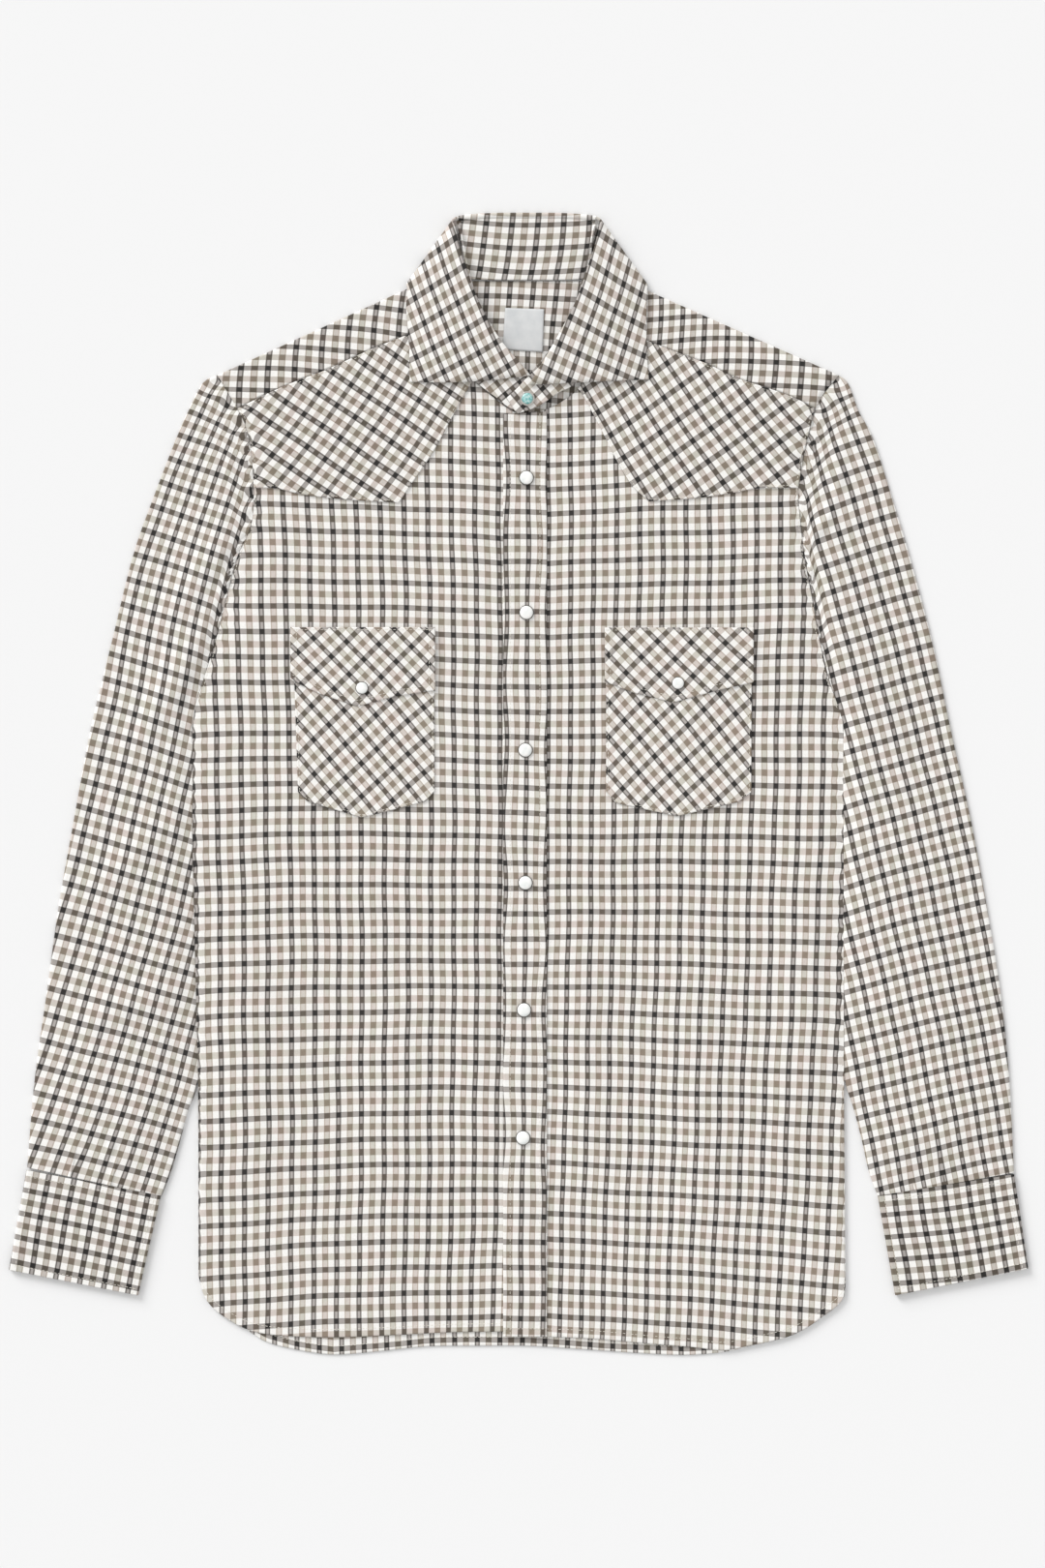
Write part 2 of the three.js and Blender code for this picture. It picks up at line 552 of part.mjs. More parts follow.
function makeFront(side) {
  const top = [...FORWARD_SEAM[side], ...FRONT_NECK[side].slice(1)];
  const plan = patch(
    cornerPath(top),
    cornerPath(HEM[side]),
    bodyEdge(side, FORWARD_SEAM_Y, HEM[side][0][1]),
    line(top.at(-1), HEM[side].at(-1)),
  );
  const rows = stepsBetween(FORWARD_SEAM_Y, HEM[side][0][1]);
  return addPiece(`front_${side}`, panel(plan, top.length - 1, rows, frontMiddle), CLOTH_FINISH);
}

function makeFrontYoke(side) {
  const { lower, inner, neck } = FRONT_YOKE[side];
  const top = [...FORWARD_SEAM[side], ...neck.slice(1)];
  const plan = patch(
    cornerPath(top),
    straightPath(lower),
    bodyEdge(side, FORWARD_SEAM_Y, FRONT_YOKE_Y),
    softPath([...inner].reverse()),
  );
  const rows = 2 * stepsBetween(FORWARD_SEAM_Y, FRONT_YOKE_Y);
  return addPiece(`front_yoke_${side}`, panel(plan, top.length - 1, rows, () => APPLIED_Z), CLOTH_FINISH);
}

// A patch with a level top and upright sides over a pointed lower edge.
function pointedPatch({ x0, x1, top, side, shoulders, tip }) {
  const lower = straightPath([[x0, side], shoulders[0], tip, shoulders[1], [x1, side]]);
  return patch(line([x0, top], [x1, top]), lower, line([x0, top], [x0, side]), line([x1, top], [x1, side]));
}

function makePocket(side) {
  const pocket = panel(pointedPatch(POCKETS[side]), ...CELLS.pocket, () => APPLIED_Z);
  return addPiece(`pocket_${side}`, pocket, CLOTH_FINISH);
}

function makeFlap(side) {
  const flap = panel(pointedPatch(FLAPS[side]), ...CELLS.flap, () => FLAP_Z);
  return addPiece(`flap_${side}`, flap, CLOTH_FINISH);
}

function makePlacket() {
  const { x0, x1, topLeft, topRight, bottom } = PLACKET;
  const plan = patch(line([x0, topLeft], [x1, topRight]), line([x0, bottom], [x1, bottom]),
    line([x0, topLeft], [x0, bottom]), line([x1, topRight], [x1, bottom]));
  return addPiece('placket', panel(plan, ...CELLS.placket, () => APPLIED_Z), CLOTH_FINISH);
}

function makeSleeve(side) {
  const { outer, inner } = SLEEVE[side];
  const hand = sign(side);
  const armhole = (t) => {
    const [x, y] = bodyEdge(side, SHOULDER_CORNER_Y, ARMPIT_Y)(t);
    return [x + hand * ARMHOLE_GAP, y];
  };
  const clearOfBody = ([x, y]) => (
    y < BODY_EDGE.at(-1).y ? [x, y]
      : [hand * Math.max(hand * x, hand * bodyX(side, y) + ARMHOLE_GAP), y]);
  const cuffEnd = line(outer.at(-1), inner.at(-1));
  const start = armhole(0);
  const plan = patch(
    armhole,
    cuffEnd,
    softPath([start, ...outer.slice(1)]),
    softPath([armhole(1), ...inner.slice(1)]),
  );
  const flats = SLEEVE_FLATS;
  const fullness = (u, v) => (
    SLEEVE_FULLNESS * smooth(u / flats.side) * smooth((1 - u) / flats.side)
      * smooth(v / flats.top) * smooth((1 - v) / flats.cuff));
  const pleats = (u, v) => CUFF_PLEATS[side].reduce((sum, at) => (
    sum + CUFF_PLEAT.height * smooth(1 - Math.abs(u - at) / CUFF_PLEAT.width)
      * smooth(1 - (1 - v) / CUFF_PLEAT.reach)), 0);
  const edgeFade = (u) => smooth(u / 0.12) * smooth((1 - u) / 0.12);
  const lift = (u, v, x, y) => fullness(u, v) + pleats(u, v)
    + foldLift(SLEEVE_FOLDS[side], x, y) * edgeFade(u) * smooth(v / 0.06);
  const columns = stepsBetween(SHOULDER_CORNER_Y, ARMPIT_Y);
  const tube = flatTube(plan, columns, CELLS.sleeveRows, CLOTH, SEAM_GAP, lift, clearOfBody);
  return addPiece(`sleeve_${side}`, tube, CLOTH_FINISH);
}

function makeCuff(side) {
  const { seam, wrist } = CUFF[side];
  const plan = patch(line(...seam), line(...wrist), line(seam[0], wrist[0]), line(seam[1], wrist[1]));
  const band = flatTube(plan, ...CELLS.cuff, CUFF_WALL, CUFF_SPACE, () => 0);
  return addPiece(`cuff_${side}`, band, CLOTH_FINISH);
}

// All the rows of the collar in order, from the left front end round the back to the right.
function collarRows(backRows, leftRows, rightRows) {
  const mirror = (value) => (Array.isArray(value) ? [2 * COLLAR_MIDDLE_X - value[0], value[1]] : value);
  const mirrored = backRows.slice(1).map((row) => (
    Object.fromEntries(Object.entries(row).map(([key, value]) => [key, mirror(value)]))));
  return [...leftRows].reverse().concat([...backRows].reverse(), mirrored, rightRows);
}

// The stand: a band from its rolled edge to the neck seam.
function makeStand() {
  const rows = collarRows(STAND_BACK, STAND_LEFT, STAND_RIGHT).map((row) => [0, 0.5, 1].map((t) => {
    const [x, y] = mix2(row.roll, row.seam, t);
    return new THREE.Vector3(x, y, mix(row.rollZ, row.seamZ, t));
  }));
  return addPiece('collar_stand', bentSheet(rows, STAND_WALL), CLOTH_FINISH);
}

// The leaf: it rolls over the stand's edge and falls outside it to its free edge.
function makeLeaf() {
  const rows = collarRows(LEAF_BACK, LEAF_LEFT, LEAF_RIGHT).map((row) => LEAF_SHARES.map((t) => {
    const [x, y] = mix2(row.roll, row.edge, t);
    const inFront = row.rollZ > row.edgeZ + 2;
    const drop = inFront ? t : Math.ceil(t);
    const belly = inFront ? LEAF_BELLY * Math.sin(Math.PI * t) : 0;
    return new THREE.Vector3(x, y, mix(row.rollZ, row.edgeZ, drop) + belly);
  }));
  return addPiece('collar_leaf', bentSheet(rows, LEAF_WALL), CLOTH_FINISH);
}

function makeLabel() {
  const [a, b, c, d] = LABEL.corners;
  const middle = CLOTH + SEAM_GAP + LABEL.wall / 2;
  const plan = patch(line(a, b), line(d, c), line(a, d), line(b, c));
  return addPiece('label', panel(plan, ...CELLS.label, () => middle, LABEL.wall), LABEL_FINISH);
}

// A snap: a flat ring with a low domed cap in it, turned about its own axis.
function makeSnap(name, [x, y], z, radius, finish) {
  const profile = SNAP_PROFILE.map(([r, h]) => new THREE.Vector2(r * radius, h * radius));
  const turned = new THREE.LatheGeometry(profile, SNAP_SEGMENTS);
  turned.rotateX(Math.PI / 2);
  const snap = addPiece(name, turned, finish);
  snap.position.set(x, y, z);
  return snap;
}

makeBack();
makeBackYoke();
SIDES.forEach((side) => {
  makeFront(side);
  makeFrontYoke(side);
  makePocket(side);
  makeFlap(side);
  makeSleeve(side);
  makeCuff(side);
  const seat = FLAP_Z + CLOTH / 2 + SEAM_GAP;
  makeSnap(`snap_pocket_${side}`, FLAP_SNAPS[side], seat, POCKET_SNAP_RADIUS, PEARL_FINISH);
});
makePlacket();
makeStand();
makeLeaf();
makeLabel();
PLACKET_SNAPS.forEach((at, i) => {
  makeSnap(`snap_front_${i + 1}`, at, APPLIED_Z + CLOTH / 2 + SEAM_GAP, SNAP_RADIUS, PEARL_FINISH);
});
makeSnap('snap_collar', COLLAR_SNAP.at, COLLAR_SNAP.z, SNAP_RADIUS, STONE_FINISH);

export default shirt;
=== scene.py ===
"""A western snap shirt in a small tattersall check, fastened and laid flat, seen from above.

Sizes in the tables are in millimetres, in the frame of the solids: +X to the right of the laid
shirt, +Y towards the collar, +Z up from the table. Meshes are made in metres.
"""

from __future__ import annotations

import logging
import math
from collections.abc import Sequence
from dataclasses import dataclass, field, replace
from enum import Enum

import bmesh
import bpy
import numpy as np
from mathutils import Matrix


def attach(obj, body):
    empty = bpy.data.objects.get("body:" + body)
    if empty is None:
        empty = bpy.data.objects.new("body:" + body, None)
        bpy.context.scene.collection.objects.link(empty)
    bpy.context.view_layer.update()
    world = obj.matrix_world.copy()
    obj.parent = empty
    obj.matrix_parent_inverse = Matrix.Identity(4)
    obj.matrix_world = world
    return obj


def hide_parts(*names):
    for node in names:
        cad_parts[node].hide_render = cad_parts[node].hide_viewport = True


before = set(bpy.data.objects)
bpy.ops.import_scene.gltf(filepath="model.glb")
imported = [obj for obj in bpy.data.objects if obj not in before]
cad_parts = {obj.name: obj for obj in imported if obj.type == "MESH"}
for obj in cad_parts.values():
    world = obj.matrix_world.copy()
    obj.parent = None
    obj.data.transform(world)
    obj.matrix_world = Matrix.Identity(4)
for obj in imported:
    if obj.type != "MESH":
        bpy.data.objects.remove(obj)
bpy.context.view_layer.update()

log = logging.getLogger("shirt")

Point = tuple[float, float]
Array = np.ndarray
Input = bpy.types.NodeSocket | float | str | tuple[float, ...]  # what a socket is fed with

MM = 0.001
CM = 10.0  # millimetres to a unit of the "rim" map
FINE = 1.0  # share of the full grid that is made

# The stack of layers, as heights of the middle of each cloth
CLOTH = 1.1
BACK_Z = 0.62
FRONT_Z = 2.1
APPLIED_Z = 3.5
FLAP_Z = 4.8
ROUND_OFF = 0.9  # how far in from its edge a cloth rounds off
NECK_MIDDLE_X = 6.0
SHOULDER_CORNER_Y = 304.0
FORWARD_SEAM_Y = 279.0
BACK_YOKE_SEAM_Y = 250.0
FRONT_YOKE_Y = 220.0
ARMPIT_Y = 43.0
TUCK_END_Y = -228.0  # where the sleeve's inner edge comes out from under the body


class Side(Enum):
    """A side of the laid shirt, as seen from above."""

    LEFT = "left"
    RIGHT = "right"

    @property
    def sign(self) -> int:
        """Direction of the side along X."""
        return -1 if self is Side.LEFT else 1


# Outline of the body: height, left edge and right edge
BODY_EDGE = (
    (304, -224, 238), (289, -215, 226), (279, -209, 220.5), (266, -203, 217),
    (245, -198.5, 212), (220, -197, 208), (192, -199, 210), (168, -209.5, 213),
    (135, -218, 219), (112, -224, 223), (79, -234, 230.5), (60, -240, 237),
    (43, -242.5, 241.5), (-36, -243, 242), (-100, -241.5, 242), (-223, -238.5, 242),
    (-374, -238, 243),
)
HEM = {
    Side.LEFT: (
        (-238, -366), (-234.3, -379.4), (-228, -388.8), (-217, -397.4), (-202, -405.4),
        (-185, -409.3), (-160, -411), (-135, -411.3), (-109, -410.4), (-84, -409.3),
        (-50, -407.6), (-17, -407.2), (16, -407.2),
    ),
    Side.RIGHT: (
        (243, -374), (241.5, -382), (236, -388.8), (226, -396), (216, -403.2), (204, -409.5),
        (192, -413.3), (172, -417.5), (152, -421), (128, -418.5), (96, -416), (56, -412.4),
        (16.3, -410.8),
    ),
}
TAIL = (
    (-238, -366), (-234.3, -379.4), (-228, -388.8), (-217, -397.4), (-202, -406), (-188, -414.7),
    (-166, -420.5), (-138, -424.3), (-105, -422), (-69, -418.3), (-30, -417.8), (6, -417.8),
    (50, -420.5), (93, -423.4), (125, -424.6), (152, -422.5), (172, -418), (192, -413.6),
    (204, -409.8), (216, -403.5), (228, -394.8), (238, -385), (243, -374),
)
SHOULDER_FOLD = {
    Side.LEFT: ((-224, 304), (-48, 384)),
    Side.RIGHT: ((238, 304), (57, 384)),
}
YOKE_NECK = ((-36, 374), (48, 374))
FORWARD_SEAM = {
    Side.LEFT: (
        (-209, 279), (-187, 290), (-165, 299.5), (-145, 307), (-122, 317.5), (-104, 325.5),
        (-82, 334), (-58, 343),
    ),
    Side.RIGHT: (
        (220.5, 279), (206, 286.5), (186, 294), (161, 302), (142, 311.5), (121, 319.5),
        (97, 329), (69, 341),
    ),
}
FRONT_NECK = {
    Side.LEFT: ((-58, 343), (-55, 331), (-48, 313), (-30, 297), (-4, 277), (16, 275.5)),
    Side.RIGHT: ((69, 341), (68, 331), (62, 315), (46, 295), (30, 283), (16.3, 277)),
}
FRONT_YOKE_LOWER = {
    Side.LEFT: ((-197, 220), (-180, 219.5), (-163, 215.5), (-145, 213), (-118, 210.5), (-89, 209)),
    Side.RIGHT: ((208, 220), (192, 220), (176, 219.5), (158, 216), (128, 212), (97, 210)),
}
FRONT_YOKE_INNER = {
    Side.LEFT: ((-34, 300), (-48, 275), (-64, 246), (-81, 221), (-89, 209)),
    Side.RIGHT: ((44, 294), (49, 287), (60, 266), (81, 226), (97, 210)),
}
FRONT_YOKE_NECK = {
    Side.LEFT: ((-58, 343), (-55, 331), (-48, 313), (-34, 300)),
    Side.RIGHT: ((69, 341), (68, 331), (62, 315), (44, 294)),
}
PLACKET = ((-11.5, 275), (21, 277), (21, -410.8), (-11.5, -410.8))  # corners, clockwise
PLACKET_SNAPS = ((5.8, 227.5), (5.8, 127.4), (5, 25.2), (5, -73.4), (4, -167.8), (3.2, -262.8))
COLLAR_SNAP = (6.5, 286.0, 7.6)
FLAP_SNAPS = {Side.LEFT: (-116.4, 71.3), Side.RIGHT: (118.4, 74.9)}
LABEL = ((-10, 354), (19, 353), (18, 321), (-12, 323))
SLEEVE_OUTER = {
    Side.LEFT: (
        (-224, 304), (-235, 298), (-246, 277), (-255, 256), (-272, 212), (-287, 169), (-303, 104),
        (-318.5, 40), (-330.5, -25), (-342, -90), (-351, -155), (-360, -220), (-365.5, -285),
    ),
    Side.RIGHT: (
        (238, 304), (245, 298), (253, 277), (264, 256), (278, 212), (291, 169), (308, 104),
        (321.5, 40), (336, -25), (348, -90), (358.5, -155), (365, -220), (368.4, -289),
    ),
}
SLEEVE_INNER = {
    Side.LEFT: (
        (-243, 43), (-243.3, 20), (-243.6, -36), (-242, -100), (-239.6, -200), (-240, -227),
        (-246, -243), (-252, -266), (-258.5, -288), (-265.8, -306.9),
    ),
    Side.RIGHT: (
        (242, 43), (242.4, 20), (242.6, -36), (242.6, -100), (242.6, -200), (243.6, -223),
        (249, -241), (255.5, -266), (260.5, -288), (267.3, -306.9),
    ),
}
CUFF = {
    Side.LEFT: ((-366, -287), (-266, -306), (-283, -380), (-379, -361)),
    Side.RIGHT: ((368.5, -290), (267, -306), (280, -380), (379, -360)),
}


def smooth(t: Array) -> Array:
    """Eases from 0 to 1 over the unit range."""
    s = np.clip(t, 0.0, 1.0)
    return s * s * (3 - 2 * s)


def body_x(side: Side, y: Array) -> Array:
    """The body's outline on one side at the heights y.

    Args:
        side: Side of the shirt.
        y: Heights on the shirt.

    Returns:
        Places of the edge across the shirt.
    """
    rows = sorted(BODY_EDGE)
    column = 1 if side is Side.LEFT else 2
    return np.interp(y, [r[0] for r in rows], [r[column] for r in rows])


def tail_y(x: Array) -> Array:
    """The tail's edge at places across the shirt."""
    tail = sorted(TAIL)
    return np.interp(x, [p[0] for p in tail], [p[1] for p in tail])


class Path:
    """A plane path that is read by share of its length."""

    def __init__(self, points: Sequence[Point], soft: bool = True, steps: int = 16) -> None:
        """Takes the path through its points.

        Args:
            points: Corners, in millimetres.
            soft: Whether the path is a smooth curve instead of straight stretches.
            steps: Points made in each stretch of a smooth curve.
        """
        corners = np.array(points, dtype=float)
        self.points = self._curve(corners, steps) if soft and len(corners) > 2 else corners
        length = np.hypot(*np.diff(self.points, axis=0).T)
        self.shares = np.concatenate([[0.0], np.cumsum(length)])
        self.length = float(self.shares[-1])
        self.shares /= self.length

    @staticmethod
    def _curve(corners: Array, steps: int) -> Array:
        """Cardinal spline with an end repeated at each end.

        Args:
            corners: Points that it runs through.
            steps: Points made in each stretch.

        Returns:
            Points of the curve.
        """
        before, after = 2 * corners[0] - corners[1], 2 * corners[-1] - corners[-2]
        c = np.vstack([before, corners, after])
        t = np.linspace(0, 1, steps, endpoint=False)[:, None]
        made = [
            0.5 * (2 * c[i] + (c[i + 1] - c[i - 1]) * t
                   + (2 * c[i - 1] - 5 * c[i] + 4 * c[i + 1] - c[i + 2]) * t**2
                   + (3 * c[i] - c[i - 1] - 3 * c[i + 1] + c[i + 2]) * t**3)
            for i in range(1, len(c) - 2)
        ]
        return np.vstack([*made, corners[-1:]])

    def at(self, t: Array) -> Array:
        """Points at the shares t."""
        return np.stack([np.interp(t, self.shares, self.points[:, k]) for k in (0, 1)], axis=-1)

    def then(self, other: Path) -> Path:
        """This path and the next one as one, with a corner between them."""
        return Path(np.vstack([self.points, other.points[1:]]), soft=False)


Edges = tuple[Path, Path, Path, Path]  # top, bottom, first and second edge of a piece


def straight(*corners: Point) -> Path:
    """A path of straight stretches."""
    return Path(corners, soft=False)


def four_edges(corners: Sequence[Point]) -> Edges:
    """Edges of a four-cornered piece, from its corners clockwise from the upper left."""
    a, b, c, d = corners
    return straight(a, b), straight(d, c), straight(a, d), straight(b, c)


def body_side(side: Side, top: float, bottom: float) -> Path:
    """The body's outline on one side between two heights."""
    levels = [top, *(r[0] for r in BODY_EDGE if bottom < r[0] < top), bottom]
    return Path([(float(body_x(side, y)), y) for y in levels])


def patch(top: Path, bottom: Path, first: Path, second: Path, u: Array, v: Array) -> Array:
    """A patch between four edges.

    Args:
        top: Edge at v = 0, along u.
        bottom: Edge at v = 1, along u.
        first: Edge at u = 0, along v.
        second: Edge at u = 1, along v.
        u: Shares of the columns.
        v: Shares of the rows.

    Returns:
        Points of the grid, rows by columns by two.
    """
    a, b = u[None, :, None], v[:, None, None]
    across = (1 - b) * top.at(u)[None] + b * bottom.at(u)[None]
    along = (1 - a) * first.at(v)[:, None] + a * second.at(v)[:, None]
    ends = top.at(np.array([0.0, 1.0])), bottom.at(np.array([0.0, 1.0]))
    corners = (1 - b) * ((1 - a) * ends[0][0] + a * ends[0][1]) \
        + b * ((1 - a) * ends[1][0] + a * ends[1][1])
    return across + along - corners


def graded(length: float, step: float, insets: Sequence[float] = (0.3, 0.7, 1.3, 2.1, 3.2)
           ) -> Array:
    """Shares of a length, even in the middle and close together at both ends.

    Args:
        length: Length that is shared out, in millimetres.
        step: Size of the middle cells at full fineness.
        insets: Places of the lines near each end.

    Returns:
        Shares from 0 to 1, rising.
    """
    near = np.array([0.0, *insets]) / length
    middle = np.linspace(near[-1], 1 - near[-1], max(3, int(FINE * length / step)))
    return np.concatenate([near[:-1], middle, 1 - near[:-1][::-1]])


@dataclass(frozen=True)
class Grain:
    """How the check lies on one piece, in millimetres.

    Attributes:
        origin: A crossing of two charcoal stripes.
        across: Step from one charcoal warp stripe to the next.
        down: Step from one charcoal weft stripe to the next.
        warp_bend: How the warp bends with x x, x y and y y, in 0.00001 repeats.
        weft_bend: The same of the weft.
        wander: How far stripes stray, in repeats.
        seed: Place of the straying.
        turn: How the warp turns above a height: that height, and 0.00001 repeats for y y.
        tone: How much deeper the coloured stripes are, from 0 to 1.
    """

    origin: Point
    across: Point
    down: Point
    warp_bend: tuple[float, float, float] = (0.0, 0.0, 0.0)
    weft_bend: tuple[float, float, float] = (0.0, 0.0, 0.0)
    wander: float = 0.02
    seed: float = 0.0
    turn: tuple[float, float] = (0.0, 0.0)
    tone: float = 0.0

    def cells(self, x: Array, y: Array) -> Array:
        """Repeats across and down at places of the piece.

        Args:
            x: Places across the shirt.
            y: Places up the shirt.

        Returns:
            Repeats of the warp and the weft, on a last axis of two.
        """
        dx, dy = x - self.origin[0], y - self.origin[1]
        (ax, ay), (bx, by) = self.across, self.down
        area = ax * by - ay * bx
        squares = dx * dx, dx * dy, dy * dy
        u = (dx * by - dy * bx) / area + sum(
            1e-5 * b * q for b, q in zip(self.warp_bend, squares, strict=True))
        v = (ax * dy - ay * dx) / area + sum(
            1e-5 * b * q for b, q in zip(self.weft_bend, squares, strict=True))
        u = u + 1e-5 * self.turn[1] * np.maximum(0, y - self.turn[0]) ** 2
        s = self.seed
        warp_stray = np.sin(y / 23 + x / 61 + s) + 0.6 * np.sin(y / 9.7 - x / 31 + 2 * s)
        weft_stray = np.sin(x / 27 - y / 53 + s) + 0.6 * np.sin(x / 11.3 + y / 37 + 3 * s)
        return np.stack([u + self.wander * warp_stray, v + self.wander * weft_stray], axis=-1)


@dataclass(frozen=True)
class Edge:
    """Finish of one edge of a piece.

    Attributes:
        stitch: Distance of its stitch line from the edge, or 0 without one.
        pucker: Height of the small waves along its seam.
        press: How far the edge is pressed down.
        free: Whether it is a turned edge that shows its own rim, with painted shade along it.
        reach: Share of the edge that is stitched, from its start.
    """

    stitch: float = 0.0
    pucker: float = 0.0
    press: float = 0.0
    free: bool = True
    reach: float = 1.0


HIDDEN = Edge(free=False)


@dataclass(frozen=True)
class Crease:
    """A soft ridge in the cloth from one place to another."""

    start: Point
    end: Point
    width: float
    height: float

    def lift(self, x: Array, y: Array) -> Array:
        """Height of the ridge at places of the shirt.

        Args:
            x: Places across the shirt.
            y: Places up the shirt.

        Returns:
            Height over the cloth, in millimetres.
        """
        dx, dy = self.end[0] - self.start[0], self.end[1] - self.start[1]
        along = np.clip(
            ((x - self.start[0]) * dx + (y - self.start[1]) * dy) / (dx * dx + dy * dy), 0, 1)
        away = np.hypot(x - self.start[0] - along * dx, y - self.start[1] - along * dy)
        return self.height * smooth(1 - away / self.width) * np.sqrt(np.sin(math.pi * along) + 0.02)


class SoftNoise:
    """Even, smooth unevenness of the cloth, the same at every run."""

    NET = 64  # drawn heights each way
    TURN = (0.94, 0.34)  # lay of the net on the shirt
    START = 400  # cells of the net before the shirt's middle

    def __init__(self, seed: int, cell: float) -> None:
        """Draws the heights of a square net with cells of one size."""
        self.cell = cell
        self.heights = np.random.default_rng(seed).uniform(-1, 1, (self.NET, self.NET))

    def __call__(self, x: Array, y: Array) -> Array:
        """Heights between -1 and 1 at places of the shirt.

        Args:
            x: Places across the shirt.
            y: Places up the shirt.

        Returns:
            The heights.
        """
        cos, sin = self.TURN
        a = (cos * x + sin * y) / self.cell + self.START
        b = (-sin * x + cos * y) / self.cell + self.START
        i, j = np.floor(a).astype(int), np.floor(b).astype(int)
        s, t = smooth(a - i), smooth(b - j)
        low, high = (
            (1 - s) * self.heights[i % self.NET, k % self.NET]
            + s * self.heights[(i + 1) % self.NET, k % self.NET] for k in (j, j + 1))
        return (1 - t) * low + t * high


@dataclass(frozen=True)
class Drape:
    """How the upper layers of the laid shirt rise and fall.

    Attributes:
        soft: Height of the wide unevenness.
        fine: Height of the fine unevenness.
        edge: Width of the flat border along the sides and the tail.
        creases: Soft ridges.
    """

    soft: float = 0.75
    fine: float = 0.16
    edge: float = 26.0
    creases: tuple[Crease, ...] = (
        Crease((-205, -60), (-196, -330), 30, 1.5),
        Crease((-92, -150), (-104, -385), 34, 1.2),
        Crease((-36, -60), (-30, -300), 20, 0.9),
        Crease((46, -70), (52, -330), 24, 1.0),
        Crease((128, -120), (136, -380), 36, 1.4),
        Crease((212, -30), (206, -300), 28, 1.4),
        Crease((-118, -38), (-106, -102), 9, 0.8),
        Crease((-172, 190), (-215, 90), 16, 0.9),
        Crease((176, 190), (212, 92), 16, 0.9),
        Crease((-30, 250), (-44, 120), 18, 0.7),
        Crease((46, 250), (52, 130), 18, 0.7),
    )

    def lift(self, x: Array, y: Array) -> Array:
        """Rise of the fronts over their flat height at places of the shirt.

        Args:
            x: Places across the shirt.
            y: Places up the shirt.

        Returns:
            The rise, in millimetres.
        """
        wide, fine = SoftNoise(3, 74), SoftNoise(8, 27)
        height = self.soft * (0.5 + 0.5 * wide(x, y)) + self.fine * fine(x, y)
        for crease in self.creases:
            height = height + crease.lift(x, y)
        edge = self.edge
        inside = smooth((x - body_x(Side.LEFT, y)) / edge) \
            * smooth((body_x(Side.RIGHT, y) - x) / edge)
        return np.maximum(0, height) * inside * smooth((y - tail_y(x) - 8) / edge)


DRAPE = Drape()


@dataclass(frozen=True)
class CheckCotton:
    """Small tattersall check: colours of each warp stripe over each weft stripe.

    Attributes:
        ground: White warp over white weft.
        charcoal_core: Middle of a charcoal warp stripe over white.
        charcoal_line: The two darker lines at its sides.
        charcoal_weft: Charcoal weft under white warp.
        charcoal_both: Charcoal over charcoal.
        taupe_warp: Taupe warp over white.
        taupe_line: The two darker lines at its sides.
        taupe_weft: Taupe weft under white warp.
        taupe_both: Taupe over taupe.
        mixed: Charcoal warp over taupe weft.
        mixed_weft: Taupe warp over charcoal weft.
        warp_charcoal: Half width of a stripe, in repeats, as are the next three.
        threads: Yarns to a repeat of the warp and the weft.
        blur: Half width of a stripe's soft border, in repeats.
        deepest: What is left of a crossing's brightness at full tone.
    """

    ground: str = "f3f1ed"
    charcoal_core: str = "b3ada9"
    charcoal_line: str = "75706b"
    charcoal_weft: str = "a9a39e"
    charcoal_both: str = "353331"
    taupe_warp: str = "d1cbc6"
    taupe_line: str = "b7aba1"
    taupe_weft: str = "d1cac5"
    taupe_both: str = "918579"
    mixed: str = "635b54"
    mixed_weft: str = "686058"
    warp_charcoal: float = 0.112
    warp_taupe: float = 0.13
    weft_charcoal: float = 0.108
    weft_taupe: float = 0.128
    threads: tuple[float, float] = (42.0, 46.0)
    blur: float = 0.012
    deepest: float = 0.62


@dataclass(frozen=True)
class Finish:
    """A plain procedural finish: colour, roughness and metal share."""

    name: str
    colour: str
    roughness: float
    metallic: float = 0.0
    coat: float = 0.0
    sheen: float = 0.0
    mottle: str = ""
    grain: float = 400.0
    bump: float = 0.0


THREAD = Finish("cotton_thread", "e9e5da", 0.8, sheen=0.1, mottle="cfc9bb", grain=900, bump=0.3)
PEARL = Finish("pearl_cap", "f6f5f2", 0.2, coat=0.6, mottle="e2e6e4", grain=260)
RING = Finish("snap_ring", "76736e", 0.34, metallic=0.85, mottle="5c5955", grain=900)
PALE_RING = Finish("pale_ring", "c9c6c0", 0.3, metallic=0.6, mottle="b0aca6", grain=900)
STONE = Finish("stone_cap", "58a5a3", 0.3, coat=0.4, mottle="c2dcd8", grain=520)
SATIN = Finish("label_satin", "cfd0d0", 0.42, sheen=0.2, mottle="c4c6c7", grain=120, bump=0.1)
TABLE = Finish("table", "e8e8e8", 0.9)


def linear(colour: str) -> tuple[float, float, float, float]:
    """Reads a hex colour as a linear one."""
    parts = (int(colour[k:k + 2], 16) / 255 for k in (0, 2, 4))
    return (*(c / 12.92 if c <= 0.04045 else ((c + 0.055) / 1.055) ** 2.4 for c in parts), 1.0)


